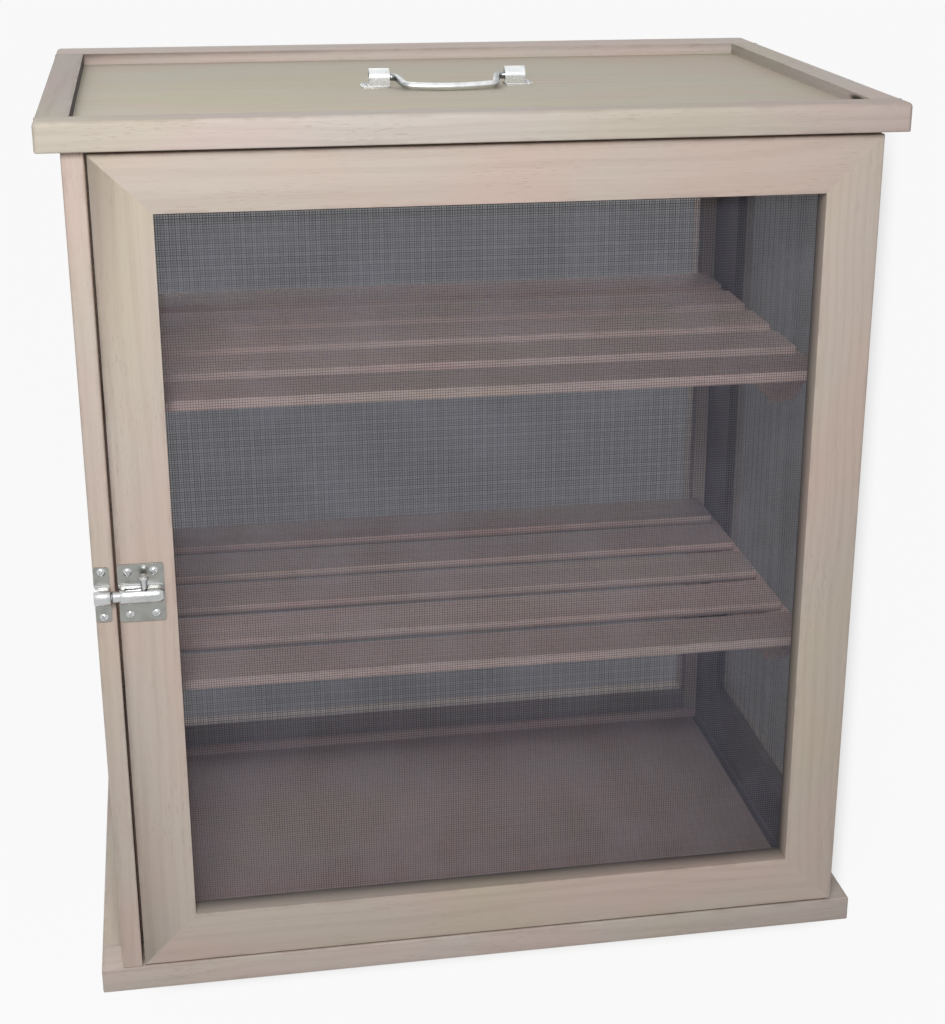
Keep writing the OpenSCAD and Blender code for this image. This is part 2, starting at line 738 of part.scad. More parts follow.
module bolt_rod() color(zinc) {
    translate([rod_tip_x, rod_y, bolt_z]) rotate([0, 90, 0]) cylinder(r = bolt_rod_r, h = bolt_rod_len);
    flare = barrel_r + knob_neck_out;
    translate([knob_x, rod_y, bolt_z]) rotate([knob_lean, 0, 0]) {
        cylinder(r = knob_neck_r, h = flare);
        translate([0, 0, flare]) cylinder(r1 = knob_neck_r, r2 = knob_end_r, h = knob_len - flare);
    }
}

// ---- handle ----

module handle_bracket(side) color(zinc) difference() {
    on_side(side) difference() {
        union() {
            board([bracket_half_gap, bracket_half_gap + bracket_barrel_len + bracket_tab_w],
                  [handle_y - bracket_foot_d / 2, handle_y + bracket_foot_d / 2],
                  [panel_top_z, panel_top_z + bracket_foot_t]);
            translate([bracket_half_gap, handle_y, bail_axis_z]) rotate([0, 90, 0])
                cylinder(r = bracket_barrel_r, h = bracket_barrel_len);
            board([bracket_half_gap, bracket_half_gap + bracket_barrel_len],
                  [handle_y, handle_y + bracket_barrel_r], [panel_top_z, bail_axis_z]);
        }
        translate([bracket_half_gap - cut, handle_y, bail_axis_z]) rotate([0, 90, 0])
            cylinder(r = bail_rod_r + bail_clear, h = bracket_barrel_len + 2 * cut);
    }
    for (p = handle_screws)
        translate([p[0], p[1], panel_top_z - cut])
            cylinder(r = screw_r + screw_clear, h = bracket_foot_t + 2 * cut);
}

// A tube of flat sides along a path drawn on the XY plane
module bent_tube(path, r, sides) {
    n = len(path);
    rings = [for (i = [0 : n - 1])
        let (d = path[min(i + 1, n - 1)] - path[max(i - 1, 0)], across = [-d[1], d[0]] / norm(d))
        for (k = [0 : sides - 1])
            let (a = 360 * k / sides, p = path[i] + r * cos(a) * across) [p[0], p[1], r * sin(a)]];
    walls = [for (i = [0 : n - 2], k = [0 : sides - 1])
        let (j = (k + 1) % sides, a = i * sides)
        each [[a + k, a + sides + j, a + j], [a + k, a + sides + k, a + sides + j]]];
    end = (n - 1) * sides;
    caps = [for (k = [1 : sides - 2]) each [[0, k, k + 1], [end, end + k + 1, end + k]]];
    polyhedron(rings, concat(walls, caps));
}

// The bail lies in one plane: a bowed grip, two arms and a true round pin in each bracket
module handle_bail() color(zinc)
    translate([0, handle_y, bail_axis_z]) rotate([180 + bail_drop, 0, 0]) {
        bent_tube(bail_path, bail_rod_r - tube_inset, bail_sides);
        for (s = [-1, 1])
            translate([s * bail_pin_x, 0, 0]) rotate([0, s * 90, 0])
                cylinder(r = bail_rod_r, h = bail_pin_len);
    }

// ---- screws ----

module cabinet_screws() color(zinc) {
    on_face(keeper_screws, -plate_t, 1)
        dome_screw(screw_head_r, screw_head_h, screw_len + plate_t);
    on_face(hinge_screws, right_front_y - leaf_t, 1) flat_screw(leaf_t, screw_len);
    for (p = handle_screws)
        translate([p[0], p[1], panel_top_z + bracket_foot_t])
            dome_screw(small_head_r, screw_head_h, small_screw_len + bracket_foot_t);
}

module door_screws() color(zinc) {
    on_face(bolt_screws, -plate_t, 1)
        dome_screw(screw_head_r, screw_head_h, screw_len + plate_t);
    on_face(hinge_screws, door_t + leaf_t, -1) flat_screw(leaf_t, screw_len);
}

// ---- pieces ----

seat() base_front_rail();
seat() base_back_rail();
seat() base_side_rail(-1);  // base_left_rail
seat() base_side_rail(1);  // base_right_rail
seat() floor_board();
seat() side_front_stile(-1);  // left_front_stile
seat() side_rear_stile(-1);  // left_rear_stile
seat() side_top_rail(-1);  // left_top_rail
seat() side_bottom_rail(-1);  // left_bottom_rail
seat() side_screen(-1);  // left_screen
seat() side_front_stile(1);  // right_front_stile
seat() side_rear_stile(1);  // right_rear_stile
seat() side_top_rail(1);  // right_top_rail
seat() side_bottom_rail(1);  // right_bottom_rail
seat() side_screen(1);  // right_screen
seat() back_stile(-1);  // back_left_stile
seat() back_stile(1);  // back_right_stile
seat() back_top_rail();
seat() back_bottom_rail();
seat() back_screen();
seat() back_staples();
seat() floor_batten();
seat() lid_front_rail();
seat() lid_back_rail();
seat() lid_side_rail(-1);  // lid_left_rail
seat() lid_side_rail(1);  // lid_right_rail
seat() lid_panel();
seat() slat(upper_shelf_top, 1);  // upper_slat_1
seat() slat(upper_shelf_top, 2);  // upper_slat_2
seat() slat(upper_shelf_top, 3);  // upper_slat_3
seat() slat(upper_shelf_top, 4);  // upper_slat_4
seat() slat(upper_shelf_top, 5);  // upper_slat_5
seat() slat(lower_shelf_top, 1);  // lower_slat_1
seat() slat(lower_shelf_top, 2);  // lower_slat_2
seat() slat(lower_shelf_top, 3);  // lower_slat_3
seat() slat(lower_shelf_top, 4);  // lower_slat_4
seat() slat(lower_shelf_top, 5);  // lower_slat_5
seat() bearer(-1, upper_shelf_top, upper_heel_y);  // upper_left_bearer
seat() bearer(1, upper_shelf_top, upper_heel_y);  // upper_right_bearer
seat() bearer(-1, lower_shelf_top, lower_heel_y);  // lower_left_bearer
seat() bearer(1, lower_shelf_top, lower_heel_y);  // lower_right_bearer
seat() hinge_case_leaf(upper_hinge_z);  // upper_hinge_case_leaf
seat() hinge_case_leaf(lower_hinge_z);  // lower_hinge_case_leaf
seat() hinge_pins();
seat() bolt_keeper();
seat() handle_bracket(-1);  // handle_left_bracket
seat() handle_bracket(1);  // handle_right_bracket
seat() cabinet_screws();
seat() door_left_stile();
seat() door_right_stile();
seat() door_top_rail();
seat() door_bottom_rail();
seat() door_screen();
seat() door_staples();
seat() hinge_door_leaf(upper_hinge_z);  // upper_hinge_door_leaf
seat() hinge_door_leaf(lower_hinge_z);  // lower_hinge_door_leaf
seat() bolt_plate();
seat() door_screws();
seat() bolt_rod();
seat() handle_bail();
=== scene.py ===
import json
import random
from math import asin, cos, hypot, pi, radians, sin, sqrt

import bmesh
import bpy
from bpy.props import FloatProperty, FloatVectorProperty, PointerProperty
from mathutils import Matrix, Vector


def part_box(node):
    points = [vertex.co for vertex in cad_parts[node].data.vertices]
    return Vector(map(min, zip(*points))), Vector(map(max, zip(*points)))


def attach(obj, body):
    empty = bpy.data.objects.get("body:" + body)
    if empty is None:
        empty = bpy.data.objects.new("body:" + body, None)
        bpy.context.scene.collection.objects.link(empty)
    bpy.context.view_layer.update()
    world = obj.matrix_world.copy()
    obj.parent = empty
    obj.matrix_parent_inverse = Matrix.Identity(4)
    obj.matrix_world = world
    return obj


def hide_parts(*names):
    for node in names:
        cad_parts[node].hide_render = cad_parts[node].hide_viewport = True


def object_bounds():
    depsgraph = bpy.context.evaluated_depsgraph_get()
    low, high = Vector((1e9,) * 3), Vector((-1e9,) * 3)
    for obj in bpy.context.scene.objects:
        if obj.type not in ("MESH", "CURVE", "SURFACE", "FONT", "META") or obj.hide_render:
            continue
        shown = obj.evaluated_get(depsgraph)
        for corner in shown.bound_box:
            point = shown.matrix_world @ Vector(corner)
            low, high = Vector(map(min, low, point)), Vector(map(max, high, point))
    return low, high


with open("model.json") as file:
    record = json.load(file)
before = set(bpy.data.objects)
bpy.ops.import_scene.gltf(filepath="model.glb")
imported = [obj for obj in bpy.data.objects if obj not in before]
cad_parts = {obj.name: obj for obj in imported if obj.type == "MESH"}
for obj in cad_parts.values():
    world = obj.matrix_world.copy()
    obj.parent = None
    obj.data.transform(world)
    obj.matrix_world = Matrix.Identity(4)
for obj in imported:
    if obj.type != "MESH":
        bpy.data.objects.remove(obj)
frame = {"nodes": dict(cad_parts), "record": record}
CAD_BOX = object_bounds()

bl_info = {
    "name": "Screened Food Safe",
    "version": (1, 0, 0),
    "blender": (4, 5, 0),
    "location": "View3D > Sidebar > Food Safe",
    "description": "Dresses the packed frame of a screened food safe in wood, fly wire and zinc",
    "category": "Object",
}


# ---- node trees ----

class Term:
    """A socket that takes part in Python arithmetic by adding Math nodes."""

    def __init__(self, nodes, socket):
        self.nodes, self.socket = nodes, socket

    def __add__(self, other): return self.nodes.maths("ADD", self, other)
    def __radd__(self, other): return self.nodes.maths("ADD", other, self)
    def __sub__(self, other): return self.nodes.maths("SUBTRACT", self, other)
    def __rsub__(self, other): return self.nodes.maths("SUBTRACT", other, self)
    def __mul__(self, other): return self.nodes.maths("MULTIPLY", self, other)
    def __rmul__(self, other): return self.nodes.maths("MULTIPLY", other, self)
    def __truediv__(self, other): return self.nodes.maths("DIVIDE", self, other)
    def __rtruediv__(self, other): return self.nodes.maths("DIVIDE", other, self)


class Nodes:
    """Adds nodes to one tree."""

    def __init__(self, tree):
        self.tree = tree
        tree.nodes.clear()

    def node(self, kind, settings=None, values=None):
        """One node: its settings first, then the value or link of each input, by name or index."""
        made = self.tree.nodes.new(kind)
        for name, value in (settings or {}).items():
            setattr(made, name, value)
        for key, value in (values or {}).items():
            self.feed(made.inputs[key], value)
        return made

    def feed(self, socket, value):
        if isinstance(value, bpy.types.Node):
            value = value.outputs[0]
        if isinstance(value, Term):
            value = value.socket
        if isinstance(value, bpy.types.NodeSocket):
            self.tree.links.new(value, socket)
        elif value is not None:
            if socket.type == "RGBA" and len(value) == 3:
                value = (*value, 1)
            socket.default_value = value

    def term(self, node, output=0):
        return Term(self, node.outputs[output])

    def maths(self, operation, *values):
        return self.term(self.node("ShaderNodeMath", {"operation": operation}, dict(enumerate(values))))

    def vector(self, operation, *values):
        made = self.node("ShaderNodeVectorMath", {"operation": operation}, dict(enumerate(values)))
        return self.term(made, "Value" if operation == "LENGTH" else "Vector")

    def xyz(self, *values):
        return self.term(self.node("ShaderNodeCombineXYZ", None, dict(enumerate(values))))

    def split(self, vector):
        made = self.node("ShaderNodeSeparateXYZ", None, {0: vector})
        return [self.term(made, i) for i in range(3)]

    def mix(self, share, a, b, blend="MIX"):
        """One colour mixed into another; sockets 6 and 7 and output 2 are those for colours."""
        settings = {"data_type": "RGBA", "blend_type": blend}
        return self.term(self.node("ShaderNodeMix", settings, {0: share, 6: a, 7: b}), 2)

    def step(self, value, low, high):
        """0 at low, 1 at high, and smooth between."""
        return self.term(self.node("ShaderNodeMapRange", {"interpolation_type": "SMOOTHSTEP"}, {
            "Value": value, "From Min": low, "From Max": high}))

    def noise(self, place, scale, detail=2.0, roughness=0.5):
        """Noise of unit size after the place is multiplied by scale along each axis."""
        return self.term(self.node("ShaderNodeTexNoise", None, {
            "Vector": self.vector("MULTIPLY", place, scale), "Scale": 1.0, "Detail": detail,
            "Roughness": roughness}))

    def attribute(self, name, output="Vector"):
        return self.term(self.node("ShaderNodeAttribute", {"attribute_name": name}), output)

    def object_place(self):
        return self.term(self.node("ShaderNodeTexCoord"), "Object")

    def seen(self):
        """1 on the rays that show a thing: from the camera, mirrored or passed through."""
        path = self.node("ShaderNodeLightPath")
        kinds = [self.term(path, f"Is {kind} Ray") for kind in ("Camera", "Glossy", "Transmission")]
        return self.maths("MAXIMUM", kinds[0], self.maths("MAXIMUM", *kinds[1:]))


class Finish(Nodes):
    """One material with a Principled surface."""

    def __init__(self, name):
        self.material = bpy.data.materials.new(name)
        self.material.use_nodes = True
        super().__init__(self.material.node_tree)

    def surface(self, height=None, height_size=0.0, **values):
        """Ends the material: the shader's sockets, and a bump from a height in height_size metres."""
        if height is not None:
            values["Normal"] = self.node("ShaderNodeBump", None, {
                "Strength": 1.0, "Distance": height_size, "Height": height})
        shader = self.node("ShaderNodeBsdfPrincipled", None, {
            name.replace("_", " "): value for name, value in values.items()})
        self.node("ShaderNodeOutputMaterial", None, {"Surface": shader})
        return self.material


def shade(colour, *factors):
    """A colour multiplied by one factor, or by one for each channel."""
    return tuple(c * k for c, k in zip(colour, factors * 3))


# ---- settings ----

def tint(name, description, *default):
    return FloatVectorProperty(
        name=name, description=description, subtype="COLOR", default=default, min=0, max=1)


def amount(name, description, default, low, high, subtype="DISTANCE"):
    return FloatProperty(
        name=name, description=description, subtype=subtype, default=default, min=low, max=high)


class WoodSettings(bpy.types.PropertyGroup):
    """Sizes and colours of the boards."""

    case_colour: tint("Case wood", "Colour of the case and the door", 0.585, 0.505, 0.44)
    lid_colour: tint("Lid wood", "Colour of the lid frame and the base", 0.60, 0.54, 0.49)
    inner_colour: tint("Inner wood", "Colour of the shelves and the darker floor board", 0.68, 0.535, 0.49)
    panel_colour: tint("Lid panel", "Colour of the plywood panel", 0.535, 0.495, 0.405)
    grain_colour: tint("Grain", "Colour of the darker grain lines", 0.36, 0.27, 0.22)
    ease: amount("Eased arris", "Width of the easing on outer arrises", 0.0011, 0.0003, 0.003)
    lid_ease: amount("Lid arris", "Width of the rounding on the lid's outer arrises", 0.0024, 0.001, 0.004)
    fine_ease: amount("Fine arris", "Width of the easing on inner arrises and joints", 0.0003, 0.0001, 0.001)


class ScreenSettings(bpy.types.PropertyGroup):
    """Sizes and colours of the fly wire."""

    pitch: amount("Pitch", "Distance from one wire to the next", 0.00141, 0.001, 0.004)
    wire: amount("Wire", "Thickness of one wire", 0.00028, 0.00015, 0.0003)
    wire_colour: tint("Wire colour", "Colour of the wire of the back and the door", 0.108, 0.110, 0.145)
    side_wire_colour: tint("Side wire colour", "Colour of the wire of the sides", 0.105, 0.100, 0.098)


class MetalSettings(bpy.types.PropertyGroup):
    """Colours of the fittings."""

    zinc_colour: tint("Zinc", "Colour of the bright zinc plating", 0.56, 0.565, 0.57)
    # painted highlight: a brighter zinc for the handle
    handle_colour: tint("Handle", "Colour of the brighter plating of the handle", 0.84, 0.86, 0.86)
    # painted dark reflection: a darker zinc for the plates, shared by the hinges and the staples
    plate_colour: tint("Plates", "Colour of the duller pressed plates", 0.34, 0.345, 0.32)


class StageSettings(bpy.types.PropertyGroup):
    """Floor and lights."""

    floor_colour: tint("Floor", "Colour of the floor", 0.52, 0.52, 0.52)
    key_power: amount("Key", "Power of the soft lamp over the camera", 6.0, 0, 50, "POWER")
    fill_strength: amount("Fill", "Strength of the broad light from behind", 0.45, 0, 3, "NONE")
    sky: amount("Surroundings", "Brightness of the even light from all round", 0.40, 0, 1, "NONE")


# ---- making pieces ----

WELD = 1e-6  # vertices this near are one


def added(name, data):
    """A new object of the scene."""
    piece = bpy.data.objects.new(name, data)
    bpy.context.scene.collection.objects.link(piece)
    return piece


def built(bm, name):
    """A linked object with the mesh that was built, which is then freed."""
    mesh = bpy.data.meshes.new(name)
    bm.to_mesh(mesh)
    bm.free()
    return added(name, mesh)


def settle(piece):
    """Turns a piece with its modifiers into a plain mesh."""
    bpy.context.view_layer.update()
    graph = bpy.context.evaluated_depsgraph_get()
    mesh = bpy.data.meshes.new_from_object(
        piece.evaluated_get(graph), preserve_all_data_layers=True, depsgraph=graph)
    piece.modifiers.clear()
    old, piece.data = piece.data, mesh
    bpy.data.meshes.remove(old)
    mesh.name = piece.name
    return piece


def mount(piece, node):
    """Hands a finished piece to the body of the node that it stands for, and hides the node."""
    record = frame["record"]
    body = next(b for b, nodes in record["behaviour"]["bodies"].items() if node in nodes)
    slot = next(p["material_slot"] for p in record["subparts"] if p["node"] == node)
    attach(piece, body)
    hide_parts(node)


def hull(nodes):
    """Lowest and highest corners of several nodes together."""
    lows, highs = zip(*(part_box(n) for n in nodes))
    return [min(values) for values in zip(*lows)], [max(values) for values in zip(*highs)]


# ---- wood ----

RING_WIDTH, RING_WANDER, PITH_DEPTH = 0.0055, 0.05, 0.035
PINKER, YELLOWER = (1.05, 0.955, 0.955), (0.985, 1.0, 0.90)
# Rims: worn arrises, and near-black on the floor board's edges as painted shade at its gaps
RUBBED_RIM, EDGE_SHADE_RIM = (0.0003, 0.0030), (0.0006, 0.0024)
FIBRE_HEIGHT = 0.00006
CASE_CONTRAST, PANEL_CONTRAST, INNER_CONTRAST = 0.34, 0.3, 0.5
# The last of these: how strongly painted shade darkens the floor board's edges at its gaps
TONE_SPREAD, FLOOR_SHADE, FLOOR_EDGE_SHADE = 0.13, 0.69, 0.95

GREY = (0.5, 0.5, 0.5)
# near-black of the small dark spots
DARK_SPOT_COLOUR = (0.02, 0.013, 0.01)
# near-black of painted shade and of darkening
DARKENING_COLOUR = (0.035, 0.03, 0.032)

# How far a board is darkened, as a share from 0 to 1: all over, on its upper face, at its right end; on
# upper faces and towards right ends it is painted shade, where less light falls
BOARD_DARKENING = {"lid_left_rail": 0.5, "lid_right_rail": 0.3}
TOP_SHADE = {"lid_front_rail": 0.43, "upper_slat_1": 0.45, "upper_slat_2": 0.3, "lower_slat_1": 0.5,
             "lower_slat_2": 0.4, "lower_slat_3": 0.55, "lower_slat_4": 0.65, "lower_slat_5": 0.65}
RIGHT_END_SHADE = {"base_front_rail": 0.4, "lid_front_rail": 0.36, "floor_board": 0.45}
# Painted shade inside the side frames; darkening round the door's opening at the back and before it; painted
# shade at a slat's front foot
INSIDE_SHADE, OPENING_DARKENING, REVEAL_DARKENING = 0.9, 0.9, 0.4
SLAT_FOOT_SHADE = {"upper": 0.3, "lower": 0.78}
INNER_WALL_SHADE = 1.9  # times more darkening on the inner walls of the lid rails, as painted shade in the recess
ON_TOP = 0.0002   # a point this near a board's top lies on its upper face

FOOT_EASE = 0.0009  # the most that a lower edge is eased
INNER_EASE = 0.6    # easing of shelves and floor, as a share of the case's
ON_BOX = 1e-5       # a face or a board this near to a box's side lies on it
FLAT, CREASE = radians(0.5), radians(30)

LEVEL = ("front_rail", "back_rail", "left_rail", "right_rail")
UPRIGHT = ("left_stile", "right_stile", "top_rail", "bottom_rail")
SIDE = ("front_stile", "rear_stile", "top_rail", "bottom_rail")
FRAMES = {"base": LEVEL, "left": SIDE, "right": SIDE, "back": UPRIGHT, "lid": LEVEL, "door": UPRIGHT}


def wood_finish(name, colour, grain_colour, contrast, dark_spots=(), edge_shade=0.0):
    """Planed, unvarnished wood: rings, fibres and pores, patches, worn arrises, painted shade and darkening,
    small dark spots.
    """
    f = Finish(name)
    board, mid, half = f.attribute("board"), f.attribute("mid"), f.attribute("half")
    tone, stain = f.attribute("tone", "Fac"), f.attribute("stain", "Fac")

    _, across, deep = f.split(board)
    wander = f.noise(board, (3, 9, 9)) * RING_WANDER
    radius = f.vector("LENGTH", f.xyz(0.0, across + wander, deep + PITH_DEPTH))
    rings = f.step(f.maths("SINE", radius * (2 * pi / RING_WIDTH)), -0.2, 1.0)
    streaks = f.step(f.noise(board, (5, 190, 190), 3.0, 0.6), 0.45, 0.75)
    fibres = f.noise(board, (26, 1500, 1500), 2.0, 0.6)
    pores = f.step(f.noise(board, (110, 2300, 2300), 1.0), 0.64, 0.74)
    flecks = (f.step(f.noise(board, (150, 1700, 1700), 1.0), 0.60, 0.72)
              * f.step(f.noise(board, (12, 60, 60)), 0.48, 0.62))
    grain = (rings * 0.30 + streaks * 0.40 + (fibres - 0.5) * 0.8 + pores * 0.6 + flecks) * contrast

    blotch = f.noise(board, (9, 22, 22))
    yellow = f.step(f.noise(board, (5, 14, 14)), 0.5, 0.66)
    base = f.mix(f.step(blotch, 0.4, 0.68), colour, shade(colour, *PINKER))
    base = f.mix(yellow * 0.8, base, shade(colour, *YELLOWER))
    base = f.mix(f.maths("MAXIMUM", grain, 0.0), base, grain_colour)

    # The rim is the middle one of the distances to the board's three nearest sides
    x, y, z = f.split(f.vector("SUBTRACT", half, f.vector("ABSOLUTE", mid)))
    least = f.maths("MINIMUM", x, f.maths("MINIMUM", y, z))
    most = f.maths("MAXIMUM", x, f.maths("MAXIMUM", y, z))
    rim = x + y + z - least - most
    patches = f.step(f.noise(mid, (60, 60, 60), 3.0), 0.42, 0.66)
    worn = (1 - f.step(rim, *RUBBED_RIM)) * patches
    base = f.mix(worn * 0.28, base, grain_colour)
    base = f.mix(tone, base, GREY, "OVERLAY")

    # painted shade and darkening, mixed toward near-black
    darkened = stain * stain * (1.12 + (blotch - 0.5) * 0.5)
    base = f.mix(f.maths("MINIMUM", darkened, 1.0), base, DARKENING_COLOUR)
    # painted shade along the floor board's edges, at its gaps
    if edge_shade:
        base = f.mix((1 - f.step(rim, *EDGE_SHADE_RIM)) * edge_shade, base, DARKENING_COLOUR)
    object_place = f.object_place()
    # small near-black spots, each given by its place and size
    for place, size in dark_spots:
        away = f.vector("DIVIDE", f.vector("SUBTRACT", object_place, place), size)
        near = f.vector("LENGTH", away) + (blotch - 0.5) * 0.8
        base = f.mix(1 - f.step(near, 0.5, 1.15), base, DARK_SPOT_COLOUR)

    rough = 0.62 + (fibres - 0.5) * 0.16 + worn * 0.08
    height = fibres * 0.5 - pores * 0.5 + streaks * 0.2
    return f.surface(height, FIBRE_HEIGHT, Base_Color=base, Roughness=rough, Specular_IOR_Level=0.32)


def shade_and_darkening_at(node, place, centre, low, high):
    """Painted shade and darkening of one point of a board, by the board and by the side of it that the point
    is on.
    """
    inside = (place.x - centre.x) * centre.x < 0
    side, _, part = node.partition("_")
    # the lid's side rails: darker all over, and more on their inner walls, as painted shade in the recess
    if node in BOARD_DARKENING:
        return BOARD_DARKENING[node] * (INNER_WALL_SHADE if inside and place.z < high.z - ON_TOP else 1.0)
    # painted shade on the inner faces of the side frames and of the base's side rails
    if node in ("base_left_rail", "base_right_rail") or (
            side in ("left", "right") and part in ("rear_stile", "bottom_rail", "top_rail")):
        return INSIDE_SHADE if inside else 0.0
    # the door's opening: darker at its back edge and on its reveal
    if side == "door":
        back = place.y > high.y - 0.001
        near = 0.002 if back else 0.0001
        opening = {"left_stile": place.x > high.x - near, "right_stile": place.x < low.x + near,
                   "top_rail": place.z < low.z + near, "bottom_rail": place.z > high.z - near}
        return (OPENING_DARKENING if back else REVEAL_DARKENING) if opening.get(part) else 0.0
    # painted shade at a slat's front foot, over the gap below it
    front_foot = place.z < low.z + 0.001 and place.y < low.y + 0.0005
    if part.startswith("slat_") and part != "slat_1" and front_foot:
        return SLAT_FOOT_SHADE[side]
    # painted shade on upper faces, and growing towards right ends where the light falls off
    top = TOP_SHADE.get(node, 0.0) if place.z > high.z - ON_TOP else 0.0
    return max(top, RIGHT_END_SHADE.get(node, 0.0) * (place.x - low.x) / (high.x - low.x))


def box_side(face, low, high):
    """The side of a box that a face lies on, as its axis and whether it is the upper one."""
    axis = max(range(3), key=lambda i: abs(face.normal[i]))
    for top, limit in ((False, low), (True, high)):
        if abs(face.normal[axis]) > 0.999 and abs(face.verts[0].co[axis] - limit[axis]) < ON_BOX:
            return axis, top
    return None


def arris_weight(sides, box, group_box, ease, fine):
    """Share of the full easing on an edge between two sides of a board that is one of a group."""
    if any(abs(box[top][axis] - group_box[top][axis]) >= ON_BOX for axis, top in sides):
        return fine / ease
    return min(1.0, FOOT_EASE / ease) if (2, False) in sides else 1.0


def mark_board(mesh, node, low, high):
    """Stores at each point what the finish reads: places along the grain, painted shade and darkening, and
    tone.
    """
    centre, half = (low + high) / 2, (high - low) / 2
    grain = max(range(3), key=lambda i: half[i])
    deep = min((i for i in range(3) if i != grain), key=lambda i: half[i])
    wide = 3 - grain - deep
    dice = random.Random(node)
    shift = Vector([dice.uniform(0, 40), dice.uniform(-0.02, 0.02), dice.uniform(-0.02, 0.02)])
    tone = dice.uniform(0, 1)
    vectors = {"board": lambda d: (d[grain] + shift[0], d[wide] + shift[1], d[deep] + shift[2]),
               "mid": lambda d: d, "half": lambda d: half}
    numbers = {"stain": lambda d: shade_and_darkening_at(node, d + centre, centre, low, high),
               "tone": lambda d: tone * TONE_SPREAD}
    for values, kind, field in ((vectors, "FLOAT_VECTOR", "vector"), (numbers, "FLOAT", "value")):
        for name, value in values.items():
            layer = mesh.attributes.new(name, kind, "POINT")
            for item, vertex in zip(layer.data, mesh.vertices):
                setattr(item, field, value(vertex.co - centre))


def eased_board(node, group, material, ease, fine):
    """A copy of a wooden node with eased arrises, its grain along the board."""
    box, group_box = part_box(node), hull(group)
    bm = bmesh.new()
    bm.from_mesh(frame["nodes"][node].data)
    bmesh.ops.remove_doubles(bm, verts=bm.verts, dist=WELD)
    bmesh.ops.dissolve_limit(bm, angle_limit=FLAT, verts=bm.verts, edges=bm.edges)
    weight = bm.edges.layers.float.new("bevel_weight_edge")
    for edge in bm.edges:
        if len(edge.link_faces) == 2:
            sides = [box_side(face, *box) for face in edge.link_faces]
            if None not in sides and sides[0][0] != sides[1][0]:
                edge[weight] = arris_weight(sides, box, group_box, ease, fine)
            else:
                edge.smooth = edge.calc_face_angle() < CREASE
    for face in bm.faces:
        face.smooth = True
    piece = built(bm, node + "_board")
    bevel = piece.modifiers.new("ease", "BEVEL")
    bevel.limit_method, bevel.width, bevel.segments, bevel.harden_normals = "WEIGHT", ease, 3, True
    settle(piece)
    piece.data.materials.clear()
    piece.data.materials.append(material)
    mark_board(piece.data, node, *box)
    mount(piece, node)


def boards(colour, *names, dark_spots=(), ease=None):
    """Eases and finishes every board of the named frames."""
    s = bpy.context.scene.safe_wood
    material = wood_finish("case_wood_" + names[0], colour, s.grain_colour, CASE_CONTRAST, dark_spots)
    for name in names:
        group = [f"{name}_{part}" for part in FRAMES[name]]
        for node in group:
            eased_board(node, group, material, ease or s.ease, s.fine_ease)


class SAFE_OT_case(bpy.types.Operator):
    """Makes the boards of the base, the two side frames and the back frame"""

    bl_idname, bl_label = "safe.case", "Case"

    def execute(self, context):
        s = context.scene.safe_wood
        boards(s.lid_colour, "base")
        boards(s.case_colour, "left", "right", "back")
        return {"FINISHED"}


class SAFE_OT_lid(bpy.types.Operator):
    """Makes the lid frame with a small dark spot in the front corner of its recess, and the plywood panel"""

    bl_idname, bl_label = "safe.lid", "Lid"

    def execute(self, context):
        s = context.scene.safe_wood
        side_low, front_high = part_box("lid_right_rail")[0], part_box("lid_front_rail")[1]
        # a small near-black spot in the front corner of the recess
        dark_spot = (side_low.x, front_high.y + 0.019, front_high.z - 0.0030)
        dark_spot_size = (0.0018, 0.0150, 0.0023)
        boards(s.lid_colour, "lid", dark_spots=[(dark_spot, dark_spot_size)], ease=s.lid_ease)
        panel = wood_finish("panel_ply", s.panel_colour, s.grain_colour, PANEL_CONTRAST)
        eased_board("lid_panel", ["lid_panel"], panel, s.fine_ease, s.fine_ease)
        return {"FINISHED"}


class SAFE_OT_shelves(bpy.types.Operator):
    """Makes the slats, their bearers, the floor board and the batten along its back"""

    bl_idname, bl_label = "safe.shelves", "Shelves"

    def execute(self, context):
        s = context.scene.safe_wood
        inner = wood_finish("inner_wood", s.inner_colour, s.grain_colour, INNER_CONTRAST)
        # the floor board's edges get painted shade at its gaps
        floor = wood_finish(
            "floor_wood", shade(s.inner_colour, FLOOR_SHADE), s.grain_colour, INNER_CONTRAST, edge_shade=FLOOR_EDGE_SHADE)
        parts = ("slat_1", "slat_2", "slat_3", "slat_4", "slat_5", "left_bearer", "right_bearer")
        nodes = ["floor_board", "floor_batten"]
        nodes += [f"{level}_{part}" for level in ("upper", "lower") for part in parts]
        for node in nodes:
            material = floor if node == "floor_board" else inner
            eased_board(node, [node], material, s.ease * INNER_EASE, s.fine_ease)
        return {"FINISHED"}


class SAFE_OT_door(bpy.types.Operator):
    """Makes the mitred members of the door"""

    bl_idname, bl_label = "safe.door", "Door"

    def execute(self, context):
        boards(context.scene.safe_wood.case_colour, "door")
        return {"FINISHED"}


# ---- geometry nodes ----

